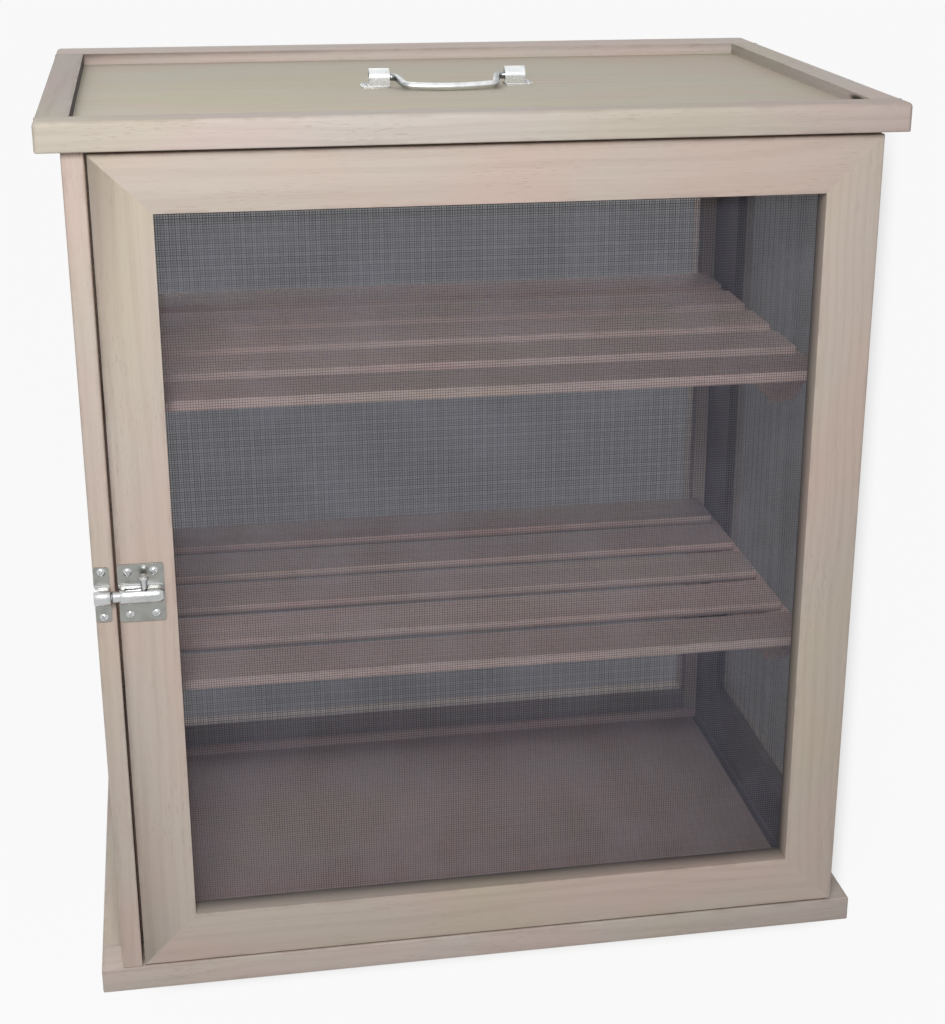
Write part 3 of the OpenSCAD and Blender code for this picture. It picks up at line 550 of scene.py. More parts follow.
class Pattern(Nodes):
    """A Geometry Nodes tree with named inputs."""

    def __init__(self, name, inputs, base=False):
        self.group = bpy.data.node_groups.new(name, "GeometryNodeTree")
        super().__init__(self.group)
        for way in ("OUTPUT", "INPUT") if base else ("OUTPUT",):
            self.group.interface.new_socket("Geometry", in_out=way, socket_type="NodeSocketGeometry")
        self.identifiers = {}
        for label, kind in inputs.items():
            made = self.group.interface.new_socket(label, in_out="INPUT", socket_type="NodeSocket" + kind)
            self.identifiers[label] = made.identifier
        self.start = self.node("NodeGroupInput")

    def input(self, label):
        return self.term(self.start, label)

    def end(self, geometry, material):
        real = self.node("GeometryNodeRealizeInstances", None, {0: geometry})
        dressed = self.node("GeometryNodeSetMaterial", None, {"Geometry": real, "Material": material})
        self.node("NodeGroupOutput", None, {0: dressed})

    def run(self, name, values, mesh=None):
        """A plain mesh made by this tree."""
        piece = added(name, mesh or bpy.data.meshes.new(name))
        modifier = piece.modifiers.new("pattern", "NODES")
        modifier.node_group = self.group
        for label, value in values.items():
            modifier[self.identifiers[label]] = value
        return settle(piece)


def weave_pattern():
    """Two touching layers of straight wires in the XZ plane, which are then turned and placed."""
    p = Pattern("fly_wire", {"Width": "Float", "Height": "Float", "Pitch": "Float", "Wire": "Float",
                             "Turn": "Rotation", "Place": "Vector", "Finish": "Material"})
    pitch, wire = p.input("Pitch"), p.input("Wire")
    both = p.node("GeometryNodeJoinGeometry")
    for axis, run, length, turn, side in ((0, "Width", "Height", (0, 0, 0), 0.5),
                                          (2, "Height", "Width", (0, pi / 2, 0), -0.5)):
        count = p.maths("FLOOR", p.input(run) / pitch)
        start, offset = [0.0, wire * side, 0.0], [0.0, 0.0, 0.0]
        start[axis], offset[axis] = (count - 1) * pitch * -0.5, pitch
        row = p.node("GeometryNodeMeshLine", {"mode": "OFFSET"}, {
            "Count": count, "Start Location": p.xyz(*start), "Offset": p.xyz(*offset)})
        strand = p.node("GeometryNodeMeshCylinder", {"fill_type": "NGON"}, {
            "Vertices": 6, "Radius": wire * 0.5, "Depth": p.input(length)})
        laid = p.node("GeometryNodeInstanceOnPoints", None, {
            "Points": row, "Instance": strand, "Rotation": turn})
        p.feed(both.inputs[0], laid)
    placed = p.node("GeometryNodeTransform", None, {
        "Geometry": both, "Rotation": p.input("Turn"), "Translation": p.input("Place")})
    p.end(placed, p.input("Finish"))
    return p


def wire_finish(name, colour):
    """Dull grey wire, a little uneven in colour from place to place."""
    f = Finish(name)
    dust = f.noise(f.object_place(), (35, 35, 35), 3.0)
    base = f.mix(f.step(dust, 0.35, 0.7), colour, shade(colour, 1.5))
    return f.surface(Base_Color=base, Roughness=0.42 + dust * 0.2, Metallic=0.0)


SCREENS = ("left_screen", "right_screen", "back_screen", "door_screen")


class SAFE_OT_screens(bpy.types.Operator):
    """Weaves the fly wire of the sides, the back and the door"""

    bl_idname, bl_label = "safe.screens", "Screens"

    def execute(self, context):
        s = context.scene.safe_screen
        weave = weave_pattern()
        finishes = wire_finish("fly_wire", s.wire_colour), wire_finish("side_fly_wire", s.side_wire_colour)
        for node in SCREENS:
            low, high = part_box(node)
            across = int("left" in node or "right" in node)
            piece = weave.run(node + "_wire", {
                "Width": (high - low)[across], "Height": (high - low).z, "Pitch": s.pitch,
                "Wire": s.wire, "Turn": (0, 0, pi / 2 if across else 0),
                "Place": (low + high) / 2, "Finish": finishes[across]})
            mount(piece, node)
        return {"FINISHED"}


# ---- metal ----

def zinc_finish(name, colour, dull=0.0, unshaded_half=None):
    """Zinc plating with duller clouds and small pits; beyond a grip's middle it is darker, painted shade on
    the bail's arms.
    """
    f = Finish(name)
    place = f.object_place()
    cloud = f.noise(place, (160, 160, 160), 3.0)
    pits = f.step(f.noise(place, (1500, 1500, 1500)), 0.62, 0.74)
    base = f.mix(f.step(cloud, 0.4, 0.75) * 0.6, colour, shade(colour, 0.72))
    # painted shade on the arms beyond the grip
    if unshaded_half:
        across = f.maths("ABSOLUTE", f.split(place)[0])
        beyond = f.step(across, unshaded_half - 0.003, unshaded_half + 0.003)
        base = f.mix(beyond * (0.75 + cloud * 0.3), base, shade(colour, 0.34))
    rough = 0.16 + dull + cloud * 0.16 + pits * 0.15
    return f.surface(cloud - pits * 0.6, 0.00004, Base_Color=base, Roughness=rough, Metallic=1.0)


def circle(count):
    """The angles of so many points round a circle."""
    return [2 * pi * k / count for k in range(count)]


def skin(bm, rings):
    """Joins rings of equally many vertices with faces and closes both ends."""
    for a, b in zip(rings, rings[1:]):
        for k in range(len(a)):
            after = (k + 1) % len(a)
            bm.faces.new((a[k], a[after], b[after], b[k]))
    bm.faces.new(rings[0])
    bm.faces.new(rings[-1])


def tube(bm, path, radii, sides=24, axis=None):
    """A closed round tube along a path, one radius a point; a fixed axis makes it a turned piece."""
    rings, side = [], None
    for i, place in enumerate(path):
        ahead = (axis or path[min(i + 1, len(path) - 1)] - path[max(i - 1, 0)]).normalized()
        side = side or ahead.orthogonal()
        side = (side - side.dot(ahead) * ahead).normalized()
        other = ahead.cross(side)
        rings.append([bm.verts.new(place + (side * cos(a) + other * sin(a)) * radii[i])
                      for a in circle(sides)])
    skin(bm, rings)


def turned(bm, origin, axis, profile, sides=32):
    """A turned piece from (distance along the axis, radius) pairs."""
    axis = Vector(axis).normalized()
    tube(bm, [origin + axis * h for h, _ in profile], [max(r, 1e-5) for _, r in profile], sides, axis)


def ring_outline(x, y, r, count=28):
    return [(x + r * cos(a), y + r * sin(a)) for a in circle(count)]


def rounded(x0, y0, x1, y1, r, steps=6):
    """Outline of a rectangle with rounded corners."""
    corners = ((x1 - r, y1 - r, 0), (x0 + r, y1 - r, 90), (x0 + r, y0 + r, 180), (x1 - r, y0 + r, 270))
    outline = []
    for x, y, start in corners:
        angles = [radians(start + 90 * k / steps) for k in range(steps + 1)]
        outline += [(x + r * cos(a), y + r * sin(a)) for a in angles]
    return outline


def plate(bm, outlines, thick, place):
    """A flat plate with holes: outlines on the local XY plane, the thickness up local Z."""
    edges = []
    for outline in outlines:
        verts = [bm.verts.new(place @ Vector((*point, 0))) for point in outline]
        edges += [bm.edges.new(pair) for pair in zip(verts, verts[1:] + verts[:1])]
    made = bmesh.ops.triangle_fill(bm, edges=edges, use_beauty=True)["geom"]
    faces = [g for g in made if isinstance(g, bmesh.types.BMFace)]
    raised = bmesh.ops.extrude_face_region(bm, geom=faces, use_keep_orig=True)["geom"]
    verts = [g for g in raised if isinstance(g, bmesh.types.BMVert)]
    bmesh.ops.translate(bm, verts=verts, vec=place.to_3x3() @ Vector((0, 0, thick)))


def finished(bm, name, material, ease=0.0, angle=38):
    """A closed, smooth metal piece, its edges eased or left crisp."""
    bmesh.ops.remove_doubles(bm, verts=bm.verts, dist=WELD)
    bmesh.ops.recalc_face_normals(bm, faces=bm.faces)
    for face in bm.faces:
        face.smooth = True
    if not ease:
        for edge in bm.edges:
            edge.smooth = len(edge.link_faces) != 2 or edge.calc_face_angle() < radians(angle)
    piece = built(bm, name)
    piece.data.materials.append(material)
    if ease:
        bevel = piece.modifiers.new("ease", "BEVEL")
        bevel.limit_method, bevel.angle_limit = "ANGLE", radians(angle)
        bevel.width, bevel.segments, bevel.harden_normals = ease, 2, True
        settle(piece)
    return piece


def islands(node):
    """The separate solids of a CAD node, each a list of points."""
    bm = bmesh.new()
    bm.from_mesh(frame["nodes"][node].data)
    bmesh.ops.remove_doubles(bm, verts=bm.verts, dist=WELD)
    left, found = set(bm.verts), []
    while left:
        stack, group = [left.pop()], []
        while stack:
            vertex = stack.pop()
            group.append(vertex.co.copy())
            near = {edge.other_vert(vertex) for edge in vertex.link_edges} & left
            left -= near
            stack += near
        found.append(group)
    bm.free()
    return sorted(found, key=lambda g: [round(sum(v) / len(g), 5) for v in zip(*g)])


def spans(points):
    """The lowest and highest value of some points along each axis."""
    return [(min(values), max(values)) for values in zip(*points)]


# ---- screws and staples ----

SCREW_RISE, SHANK_R, POINT_R, POINT_LENGTH = 0.0012, 0.0011, 0.00012, 0.002
# Radius and rise of the head and length of the shank
SCREWS = {"domed": (0.0024, SCREW_RISE, 0.009), "small": (0.0019, SCREW_RISE, 0.0052),
          "flat": (0.00205, 0.0, 0.0078)}
HEAD_SHARES = (1.0, 0.97, 0.88, 0.76, 0.64, 0.55, 0.47, 0.4, 0.33, 0.26, 0.19, 0.12, 0.05)
HEAD_SIDES = 40
# Half width, half length and depth of a domed head's cross, and the softness of its edge
CROSS, CROSS_SOFT = (0.00030, 0.00125, 0.0007), 0.00016
FLUSH, SMALL_HEAD_R = 0.0004, 0.0021  # what tells a flat screw and a small one in the CAD
SCREW_HOLE_R = 0.00125
STAPLE_LENGTH, STAPLE_WIDTH, STAPLE_LEG = 0.009, 0.0012, 0.005


def screw_places(node):
    """Each screw of a node: its kind, where its head sits and the way that its head faces."""
    rows = []
    for points in islands(node):
        ends = spans(points)
        axis = max(range(3), key=lambda i: ends[i][1] - ends[i][0])
        centre = Vector([sum(end) / 2 for end in ends])
        away = [(p - centre)[(axis + 1) % 3] ** 2 + (p - centre)[(axis + 2) % 3] ** 2 for p in points]
        head_r = sqrt(max(away))
        brim = [p[axis] for p, a in zip(points, away) if a > (0.98 * head_r) ** 2]
        seat = sum(brim) / len(brim)
        sign = 1 if seat > centre[axis] else -1
        top = ends[axis][sign > 0]
        kind = "flat" if abs(top - seat) < FLUSH else "small" if head_r < SMALL_HEAD_R else "domed"
        facing = Vector([sign if i == axis else 0 for i in range(3)])
        centre[axis] = seat
        rows.append((kind, centre, facing))
    return rows


def cross_recess(u, v, half_width, half_length, depth):
    """How deep a cross recess is at a point of a screw's head."""
    def within(value, limit):
        return min(max((limit - abs(value)) / CROSS_SOFT + 0.5, 0), 1)
    arms = max(within(u, half_width) * within(v, half_length),
               within(v, half_width) * within(u, half_length))
    return depth * arms * (1 - 0.35 * hypot(u, v) / half_length)


def screw_template(kind):
    """One screw standing on its seat: a domed or flat head with a cross recess, a shank and a point."""
    head_r, rise, length = SCREWS[kind]
    scale = head_r / SCREWS["domed"][0]
    sphere_r = (head_r ** 2 + rise ** 2) / (2 * rise) if rise else None
    neck = [(-0.0001, head_r * 0.99), (-0.00011, SHANK_R)] if rise else [(-0.0009, SHANK_R)]
    bm, rings = bmesh.new(), []
    for share in HEAD_SHARES:
        r, row = head_r * share, []
        dome = sqrt(sphere_r ** 2 - r ** 2) - (sphere_r - rise) if rise else 0.0
        for a in circle(HEAD_SIDES):
            u, v = r * cos(a), r * sin(a)
            row.append(bm.verts.new((u, v, dome - cross_recess(u, v, *(c * scale for c in CROSS)))))
        rings.append(row)
    for height, r in neck + [(-length + POINT_LENGTH, SHANK_R), (-length, POINT_R)]:
        rings.insert(0, [bm.verts.new((r * cos(a), r * sin(a), height))
                         for a in circle(HEAD_SIDES)])
    skin(bm, rings)
    return bm


def staple_template(thick):
    """One staple with its crown's top at zero and its two legs going down."""
    r, bend = thick / 2, thick * 0.9
    reach = STAPLE_LENGTH / 2 - r
    path = [Vector((-reach, 0, -STAPLE_LEG))]
    path += [Vector((-reach + bend * (1 - cos(a)), 0, -r - bend * (1 - sin(a))))
             for a in (radians(d) for d in (0, 30, 60, 90))]
    path += [Vector((-p.x, 0, p.z)) for p in reversed(path)]
    bm = bmesh.new()
    tube(bm, path, [r] * len(path), 8)
    bmesh.ops.scale(bm, vec=(1, STAPLE_WIDTH / thick, 1), verts=bm.verts)
    return bm


def fasten_pattern():
    """Stands a copy of one template at every point of a mesh, turned by the point's own attribute."""
    p = Pattern("fasteners", {"Template": "Object", "Finish": "Material"}, base=True)
    shape = p.node("GeometryNodeObjectInfo", {"transform_space": "ORIGINAL"}, {
        "Object": p.input("Template"), "As Instance": True})
    turn = p.node("GeometryNodeInputNamedAttribute", {"data_type": "FLOAT_VECTOR"}, {"Name": "turn"})
    spin = p.node("FunctionNodeEulerToRotation", None, {0: turn.outputs["Attribute"]})
    laid = p.node("GeometryNodeInstanceOnPoints", None, {
        "Points": p.input("Geometry"), "Instance": shape.outputs["Geometry"],
        "Rotation": spin})
    p.end(laid, p.input("Finish"))
    return p


def fastened(pattern, name, template, places, material):
    """One mesh of like fasteners from (point, Euler angles) pairs."""
    mesh = bpy.data.meshes.new(name)
    mesh.from_pydata([place for place, _ in places], [], [])
    layer = mesh.attributes.new("turn", "FLOAT_VECTOR", "POINT")
    for item, (_, angles) in zip(layer.data, places):
        item.vector = angles
    part = finished(template, name + "_template", material)
    piece = pattern.run(name, {"Template": part, "Finish": material}, mesh)
    bpy.data.objects.remove(part)
    return piece


def staple_places(node, facing):
    """The top and the turn of each staple of a node whose crowns face one way along Y."""
    places = []
    for points in islands(node):
        x, y, z = spans(points)
        out = Vector((0, facing, 0))
        along = Vector((1, 0, 0)) if x[1] - x[0] > z[1] - z[0] else Vector((0, 0, 1))
        turn = Matrix((along, out.cross(along), out)).transposed()
        places.append((Vector((sum(x) / 2, y[facing > 0], sum(z) / 2)), turn.to_euler()))
    return places, y[1] - y[0]


class SAFE_OT_fasteners(bpy.types.Operator):
    """Drives the screws of the hinges, the bolt and the handle, and the staples of the screens"""

    bl_idname, bl_label = "safe.fasteners", "Fasteners"

    def execute(self, context):
        s = context.scene.safe_metal
        pattern = fasten_pattern()
        bright = zinc_finish("screw_zinc", s.zinc_colour)
        for node in ("cabinet_screws", "door_screws"):
            rows = screw_places(node)
            dice = random.Random(node)
            turns = [Matrix.Rotation(dice.uniform(0, pi), 4, "Z") for _ in rows]
            for kind in sorted({row[0] for row in rows}):
                places = [
                    (place, (facing.to_track_quat("Z", "Y").to_matrix().to_4x4() @ turn).to_euler())
                    for (k, place, facing), turn in zip(rows, turns) if k == kind]
                piece = fastened(pattern, f"{node}_{kind}", screw_template(kind), places, bright)
                mount(piece, node)
        dull = zinc_finish("staple_wire", s.plate_colour, 0.1)
        for node, facing in (("back_staples", -1), ("door_staples", 1)):
            places, thick = staple_places(node, facing)
            piece = fastened(pattern, node + "_wire", staple_template(thick), places, dull)
            mount(piece, node)
        return {"FINISHED"}


# ---- bolt ----

PLATE_T, PLATE_CORNER, PLATE_EASE = 0.001, 0.0015, 0.0002
SHEET_T, SHEET_EASE = 0.001, 0.00018  # the bent sheet of the barrel and the keeper
ROD_OUT = 0.0046                      # from the door's face to the rod's axis
# One foot of a loop from the plate up, as (beyond the loop's radius, out from the face)
LOOP_FOOT = ((0.0011, PLATE_T * 0.55), (0.0004, PLATE_T * 1.15), (0, PLATE_T + 0.0008), (0, 0.0034))
LOOP_ANGLES = (0, 13, 26, 39.5, 55, 70, 85, 100, 115, 130, 145, 160, 180)
SLOT_STRIPS = range(3, 7)  # the strips of a loop that the knob's slot leaves out
# The barrel as (distance from the plate's left end, outer radius); it narrows to a rounded end
BARREL = ((0.001, 0.0042), (0.0014, 0.0044), (0.0035, 0.0044), (0.0093, 0.0044), (0.0151, 0.0044),
          (0.0198, 0.0044), (0.0211, 0.0043), (0.0222, 0.0040), (0.023, 0.0035))
BARREL_SLOT = (0.0035, 0.0151)
KEEPER_R, KEEPER_LIP_R, KEEPER_LIP = 0.0045, 0.0043, 0.0004
# The rod and its knob as (distance along the axis, radius)
ROD_LENGTH = 0.026
ROD = ((0, 0.0020), (0.0002, 0.0024), (0.0010, 0.0031), (0.0014, 0.0032),
       (ROD_LENGTH - 0.0016, 0.0032), (ROD_LENGTH - 0.0004, 0.0021), (ROD_LENGTH, 0.0016))
KNOB = ((0.0, 0.0016), (0.0050, 0.0016), (0.0058, 0.00165), (0.0074, 0.0018), (0.0090, 0.0021),
        (0.0105, 0.00255), (0.0112, 0.0028), (0.0117, 0.0027), (0.0120, 0.0023), (0.01175, 0.0017),
        (0.0114, 0.0009), (0.0113, 0))
KNOB_FROM_PLATE, KNOB_LEAN = 0.0133, radians(12)


def pressed_loop(stations, face, axis_z, slot=None):
    """A pressed sheet that bends over the rod, with (X, outer radius) stations along it.

    The slot, if any, is the range of X where it is open on top, so that the knob can run.
    """
    bm = bmesh.new()
    rows = []
    for x, r in stations:
        mid = r - SHEET_T / 2
        foot = [(mid + beyond, out) for beyond, out in LOOP_FOOT]
        section = foot + [(mid * cos(radians(a)), ROD_OUT + mid * sin(radians(a))) for a in LOOP_ANGLES]
        section += [(-z, out) for z, out in reversed(foot)]
        rows.append([bm.verts.new((x, face - out, axis_z + z)) for z, out in section])
    for (x0, _), (x1, _), a, b in zip(stations, stations[1:], rows, rows[1:]):
        slotted = slot and slot[0] - WELD < x0 and x1 < slot[1] + WELD
        for k in range(len(a) - 1):
            if not (slotted and k in SLOT_STRIPS):
                bm.faces.new((a[k], a[k + 1], b[k + 1], b[k]))
    bmesh.ops.recalc_face_normals(bm, faces=bm.faces)
    piece = built(bm, "loop")
    sheet = piece.modifiers.new("sheet", "SOLIDIFY")
    sheet.thickness, sheet.offset, sheet.use_even_offset = SHEET_T, 0, True
    settle(piece)
    bm = bmesh.new()
    bm.from_mesh(piece.data)
    bpy.data.objects.remove(piece)
    return bm


class SAFE_OT_bolt(bpy.types.Operator):
    """Makes the barrel bolt: body plate and barrel, keeper, rod with its flared knob"""

    bl_idname, bl_label = "safe.bolt", "Bolt"

    def execute(self, context):
        s = context.scene.safe_metal
        # the plates' darker zinc is painted dark reflection
        dull = zinc_finish("bolt_plate_zinc", s.plate_colour, 0.06)
        bright = zinc_finish("bolt_zinc", s.zinc_colour)
        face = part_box("door_left_stile")[0].y
        front = Matrix(((1, 0, 0, 0), (0, 0, -1, face), (0, 1, 0, 0), (0, 0, 0, 1)))
        low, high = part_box("bolt_plate")
        axis_z = (low.z + high.z) / 2
        barrel = [(low.x + along, r) for along, r in BARREL]
        slot = [low.x + along for along in BARREL_SLOT]
        a, b = (corner.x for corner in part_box("bolt_keeper"))
        keeper = [(a, KEEPER_LIP_R), (a + KEEPER_LIP, KEEPER_R), ((a + b) / 2, KEEPER_R),
                  (b - KEEPER_LIP, KEEPER_R), (b, KEEPER_LIP_R)]
        for node, title, screws, stations, opening in (
                ("bolt_plate", "bolt_body_plate", "door_screws", barrel, slot),
                ("bolt_keeper", "bolt_keeper_plate", "cabinet_screws", keeper, None)):
            a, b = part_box(node)
            outlines = [rounded(a.x, a.z, b.x, b.z, PLATE_CORNER)]
            outlines += [ring_outline(place.x, place.z, SCREW_HOLE_R)
                         for kind, place, _ in screw_places(screws) if kind == "domed"]
            bm = bmesh.new()
            plate(bm, outlines, PLATE_T, front)
            base = finished(bm, title, dull, PLATE_EASE)
            # the loop, pressed from the same sheet as its plate, gets the brighter zinc as painted highlight
            loop = finished(pressed_loop(stations, face, axis_z, opening), "loop", bright, SHEET_EASE, 50)
            with context.temp_override(active_object=base, selected_editable_objects=[base, loop]):
                bpy.ops.object.join()
            mount(base, node)
        bm = bmesh.new()
        turned(bm, Vector((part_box("bolt_rod")[0].x, face - ROD_OUT, axis_z)), (1, 0, 0), ROD)
        turned(bm, Vector((low.x + KNOB_FROM_PLATE, face - ROD_OUT, axis_z)),
               (0, -sin(KNOB_LEAN), cos(KNOB_LEAN)), KNOB)
        mount(finished(bm, "bolt_sliding_rod", bright), "bolt_rod")
        return {"FINISHED"}


# ---- handle ----

BAIL_R, BAIL_REACH, BAIL_BOW, BAIL_GRIP_HALF, BAIL_BEND = 0.0021, 0.020, 0.003, 0.023, 0.004
BAIL_LEAN, BAIL_PIN, BAIL_CLEARANCE = radians(78), 0.010, 0.0001
BAIL_EASE = 0.0003
UNSHADED_HALF = 0.0245  # half of the bail's length kept bright; beyond it the arms get painted shade
PIVOT_UP, EYE_R = 0.0055, 0.0023
BLOCK_R, BLOCK_WIDTH, BLOCK_FOOT, BLOCK_EASE = 0.005, 0.0115, 0.0006, 0.0005
BRACKET_T, BRACKET_CORNER = 0.0012, 0.0015


def bail_route():
    """Half of the bail's centre line as (across, out) pairs, from its grip's middle to its pin's end."""
    grip_r = (BAIL_GRIP_HALF ** 2 + BAIL_BOW ** 2) / (2 * BAIL_BOW)
    turn = asin(BAIL_GRIP_HALF / grip_r)
    points = [(0.0, BAIL_REACH)]

    def arc(r, a0, a1, steps):
        x, y = points[-1]
        sign = 1 if a1 > a0 else -1
        for i in range(1, steps + 1):
            a = a0 + (a1 - a0) * i / steps
            points.append((x + sign * r * (sin(a) - sin(a0)), y + sign * r * (cos(a) - cos(a0))))

    arc(grip_r, 0, turn, 8)
    arc(BAIL_BEND, turn, BAIL_LEAN, 10)
    x, y = points[-1]
    height = y - BAIL_BEND * (1 - cos(BAIL_LEAN))
    points.append((x + height / sin(BAIL_LEAN) * cos(BAIL_LEAN), y - height))
    arc(BAIL_BEND, BAIL_LEAN, 0, 10)
    points.append((points[-1][0] + BAIL_PIN, 0.0))
    return points


class SAFE_OT_handle(bpy.types.Operator):
    """Makes the folding handle: two closed brackets and the bail"""

    bl_idname, bl_label = "safe.handle", "Handle"

    def execute(self, context):
        s = context.scene.safe_metal
        # the handle's brighter zinc is painted highlight
        bright = zinc_finish("handle_zinc", s.handle_colour)
        # the bail's arms are darkened as painted shade
        arm_shaded = zinc_finish("bail_zinc", s.handle_colour, 0.0, UNSHADED_HALF)
        screws = [place for kind, place, _ in screw_places("cabinet_screws") if kind == "small"]
        strap = [(-BLOCK_R, BLOCK_FOOT), (-BLOCK_R, PIVOT_UP)]
        strap += [(-BLOCK_R * cos(radians(a)), PIVOT_UP + BLOCK_R * sin(radians(a)))
                  for a in range(10, 180, 10)]
        strap += [(BLOCK_R, PIVOT_UP), (BLOCK_R, BLOCK_FOOT)]
        for node, side in (("handle_left_bracket", -1), ("handle_right_bracket", 1)):
            low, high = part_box(node)
            start = high.x - BLOCK_WIDTH if side < 0 else low.x
            outlines = [rounded(low.x, low.y, high.x, high.y, BRACKET_CORNER)]
            outlines += [ring_outline(p.x, p.y, SCREW_HOLE_R) for p in screws if p.x * side > 0]
            bm = bmesh.new()
            plate(bm, outlines, BRACKET_T, Matrix.Translation((0, 0, low.z)))
            middle = (low.y + high.y) / 2
            place = Matrix(((0, 0, 1, start), (1, 0, 0, middle), (0, 1, 0, low.z), (0, 0, 0, 1)))
            plate(bm, [strap, ring_outline(0, PIVOT_UP, EYE_R + BLOCK_EASE)], BLOCK_WIDTH, place)
            piece = finished(bm, node + "_strap", bright, BLOCK_EASE)
            mount(piece, node)
        low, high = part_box("handle_left_bracket")
        drop = asin((PIVOT_UP - BAIL_R - BAIL_CLEARANCE) / BAIL_REACH)
        half = bail_route()
        line = [(-x, y) for x, y in reversed(half[1:])] + half
        pivot = Vector((0, (low.y + high.y) / 2, low.z + PIVOT_UP))
        bm = bmesh.new()
        tube(bm, [pivot + Vector((x, -y * cos(drop), -y * sin(drop))) for x, y in line],
             [BAIL_R] * len(line), 20)
        mount(finished(bm, "handle_bent_bail", arm_shaded, BAIL_EASE, 60), "handle_bail")
        return {"FINISHED"}


# ---- hinges ----

HINGES = ("upper_hinge_case_leaf", "lower_hinge_case_leaf", "upper_hinge_door_leaf",
          "lower_hinge_door_leaf", "hinge_pins")


class SAFE_OT_hinges(bpy.types.Operator):
    """Plates the two butt hinges"""

    bl_idname, bl_label = "safe.hinges", "Hinges"

    def execute(self, context):
        material = zinc_finish("hinge_zinc", context.scene.safe_metal.plate_colour, 0.04)
        for node in HINGES:
            slots = frame["nodes"][node].material_slots
            for slot in slots:
                slot.material = material
            if not len(slots):
                frame["nodes"][node].data.materials.append(material)
        return {"FINISHED"}


# ---- stage ----

CAMERA = {"place": (-0.1616, -1.084183, 0.6324), "turn": (69.658, -0.280, -10.426), "lens": 66.5,
          "shift": (-0.0390, -0.0003)}
LAMP = {"place": (-0.23, -0.90, 0.85), "size": 0.32, "aim": (0, 0, 0.27)}
FILL_FROM, FILL_SPREAD = (-0.35, 0.9, 0.75), radians(45)
FLOOR_SPAN, FLOOR_DROP = 30.0, 0.0002
# Painted shadow on the floor behind the object: how dim it is, and where it fades at the front and at the
# back
SHADOW_DIM, SHADOW_FRONT, SHADOW_BACK = 0.76, 0.04, (1.9, 3.3)
FLOOR_WHITE = 0.92


def floor_finish(colour):
    """A plain floor that reads as white round the object, with a painted shadow, dim and not whitened, where
    the object hides it.
    """
    f = Finish("floor")
    low, high = CAD_BOX
    eye = CAMERA["place"]
    x, y, _ = f.split(f.object_place())
    slant = (x - eye[0]) / (y - eye[1])
    left = (low.x - eye[0]) / (high.y - eye[1])
    right = (high.x - eye[0]) / (low.y - eye[1])
    between = f.step(slant, left + 0.004, left + 0.036) * (1 - f.step(slant, right - 0.04, right - 0.006))
    # painted shadow on the floor where the object hides it
    shadowed = between * f.step(y, low.y, low.y + SHADOW_FRONT) * (1 - f.step(y, *SHADOW_BACK))
    plain = f.node("ShaderNodeBsdfDiffuse", None, {
        "Color": f.mix(shadowed, colour, shade(colour, SHADOW_DIM))})
    white = f.node("ShaderNodeEmission", None, {"Color": (1, 1, 1, 1), "Strength": 1.0})
    both = f.node("ShaderNodeMixShader", None, {
        0: f.seen() * (1 - shadowed) * FLOOR_WHITE, 1: plain, 2: white})
    f.node("ShaderNodeOutputMaterial", None, {"Surface": both})
    return f.material


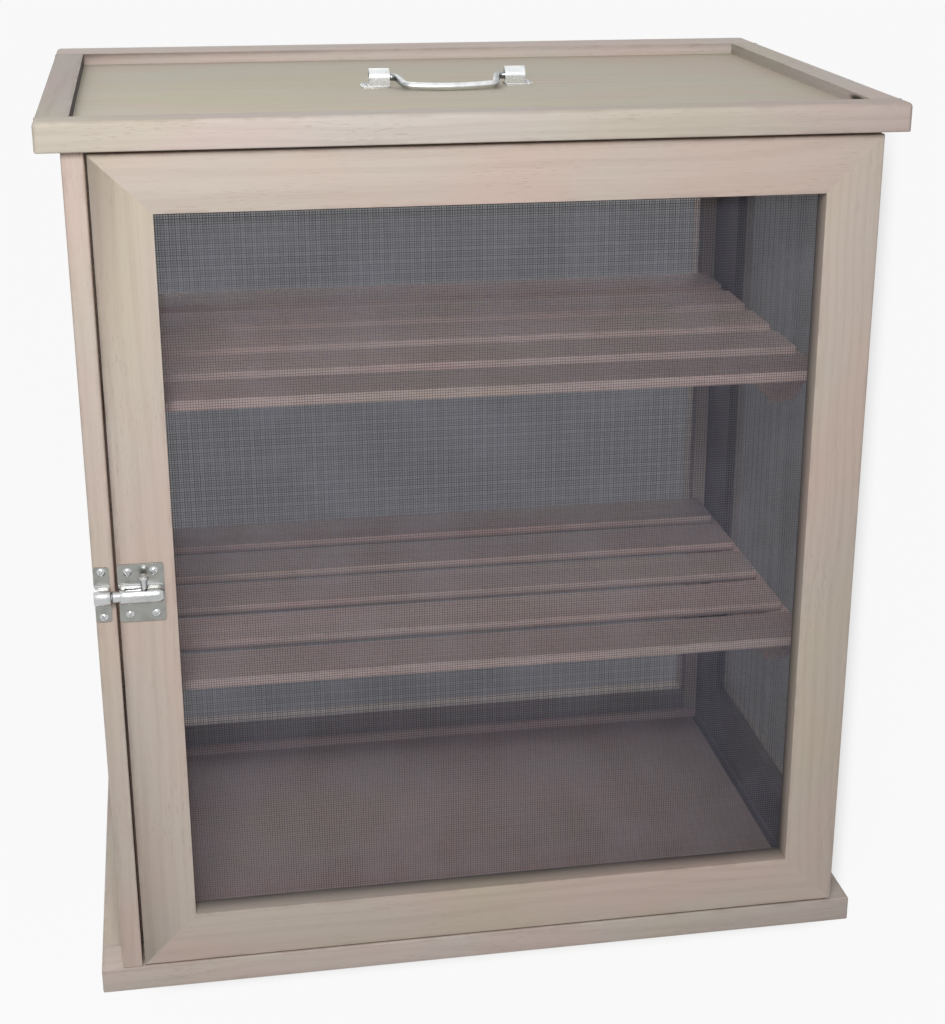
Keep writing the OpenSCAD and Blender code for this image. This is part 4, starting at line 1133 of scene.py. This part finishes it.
class SAFE_OT_stage(bpy.types.Operator):
    """Makes the floor, the lamp, the surroundings and the camera"""

    bl_idname, bl_label = "safe.stage", "Stage"

    def execute(self, context):
        scene, s = context.scene, context.scene.safe_stage
        scene.view_settings.view_transform = "Standard"
        half = FLOOR_SPAN / 2
        corners = [(-half, -half), (half, -half), (half, half), (-half, half)]
        mesh = bpy.data.meshes.new("floor")
        mesh.from_pydata([(x, y, -FLOOR_DROP) for x, y in corners], [], [(0, 1, 2, 3)])
        floor = added("floor", mesh)
        mesh.materials.append(floor_finish(s.floor_colour))

        world = bpy.data.worlds.new("surroundings")
        world.use_nodes = True
        scene.world = world
        w = Nodes(world.node_tree)
        sky = w.node("ShaderNodeBackground", None, {
            "Color": (1, 1, 1, 1), "Strength": w.seen() * (1 - s.sky) + s.sky})
        w.node("ShaderNodeOutputWorld", None, {"Surface": sky})

        lamp = bpy.data.lights.new("key", "AREA")
        lamp.shape, lamp.size, lamp.energy = "SQUARE", LAMP["size"], s.key_power
        key = added("key", lamp)
        key.location = LAMP["place"]
        ahead = Vector(LAMP["aim"]) - Vector(LAMP["place"])
        key.rotation_euler = ahead.to_track_quat("-Z", "Y").to_euler()
        key.visible_camera = False
        fill = bpy.data.lights.new("fill", "SUN")
        fill.energy, fill.angle = s.fill_strength, FILL_SPREAD
        broad = added("fill", fill)
        broad.location = FILL_FROM
        broad.rotation_euler = (-Vector(FILL_FROM)).to_track_quat("-Z", "Y").to_euler()

        lens = bpy.data.cameras.new("camera")
        lens.sensor_fit, lens.sensor_width, lens.lens = "AUTO", 36, CAMERA["lens"]
        lens.shift_x, lens.shift_y = CAMERA["shift"]
        lens.clip_start, lens.clip_end = 0.01, 100
        camera = added("camera", lens)
        camera.location = CAMERA["place"]
        camera.rotation_euler = [radians(a) for a in CAMERA["turn"]]
        scene.camera = camera
        return {"FINISHED"}


# ---- add-on ----

PIECES = (SAFE_OT_case, SAFE_OT_lid, SAFE_OT_shelves, SAFE_OT_door, SAFE_OT_screens, SAFE_OT_hinges,
          SAFE_OT_bolt, SAFE_OT_handle, SAFE_OT_fasteners, SAFE_OT_stage)
SETTINGS = {"safe_wood": WoodSettings, "safe_screen": ScreenSettings, "safe_metal": MetalSettings,
            "safe_stage": StageSettings}


class SAFE_PT_panel(bpy.types.Panel):
    """Lists the pieces of the food safe and their settings"""

    bl_idname, bl_label = "SAFE_PT_panel", "Food Safe"
    bl_space_type, bl_region_type, bl_category = "VIEW_3D", "UI", "Food Safe"

    def draw(self, context):
        for name, kind in SETTINGS.items():
            group = getattr(context.scene, name)
            box = self.layout.box()
            for key in kind.__annotations__:
                box.prop(group, key)
        for piece in PIECES:
            self.layout.operator(piece.bl_idname)


CLASSES = (*SETTINGS.values(), *PIECES, SAFE_PT_panel)


def register():
    for kind in CLASSES:
        bpy.utils.register_class(kind)
    for name, kind in SETTINGS.items():
        setattr(bpy.types.Scene, name, PointerProperty(type=kind))


def unregister():
    for name in SETTINGS:
        delattr(bpy.types.Scene, name)
    for kind in reversed(CLASSES):
        bpy.utils.unregister_class(kind)


def main():
    register()
    for piece in PIECES:
        group, name = piece.bl_idname.split(".")
        getattr(getattr(bpy.ops, group), name)()


if __name__ == "__main__":
    main()
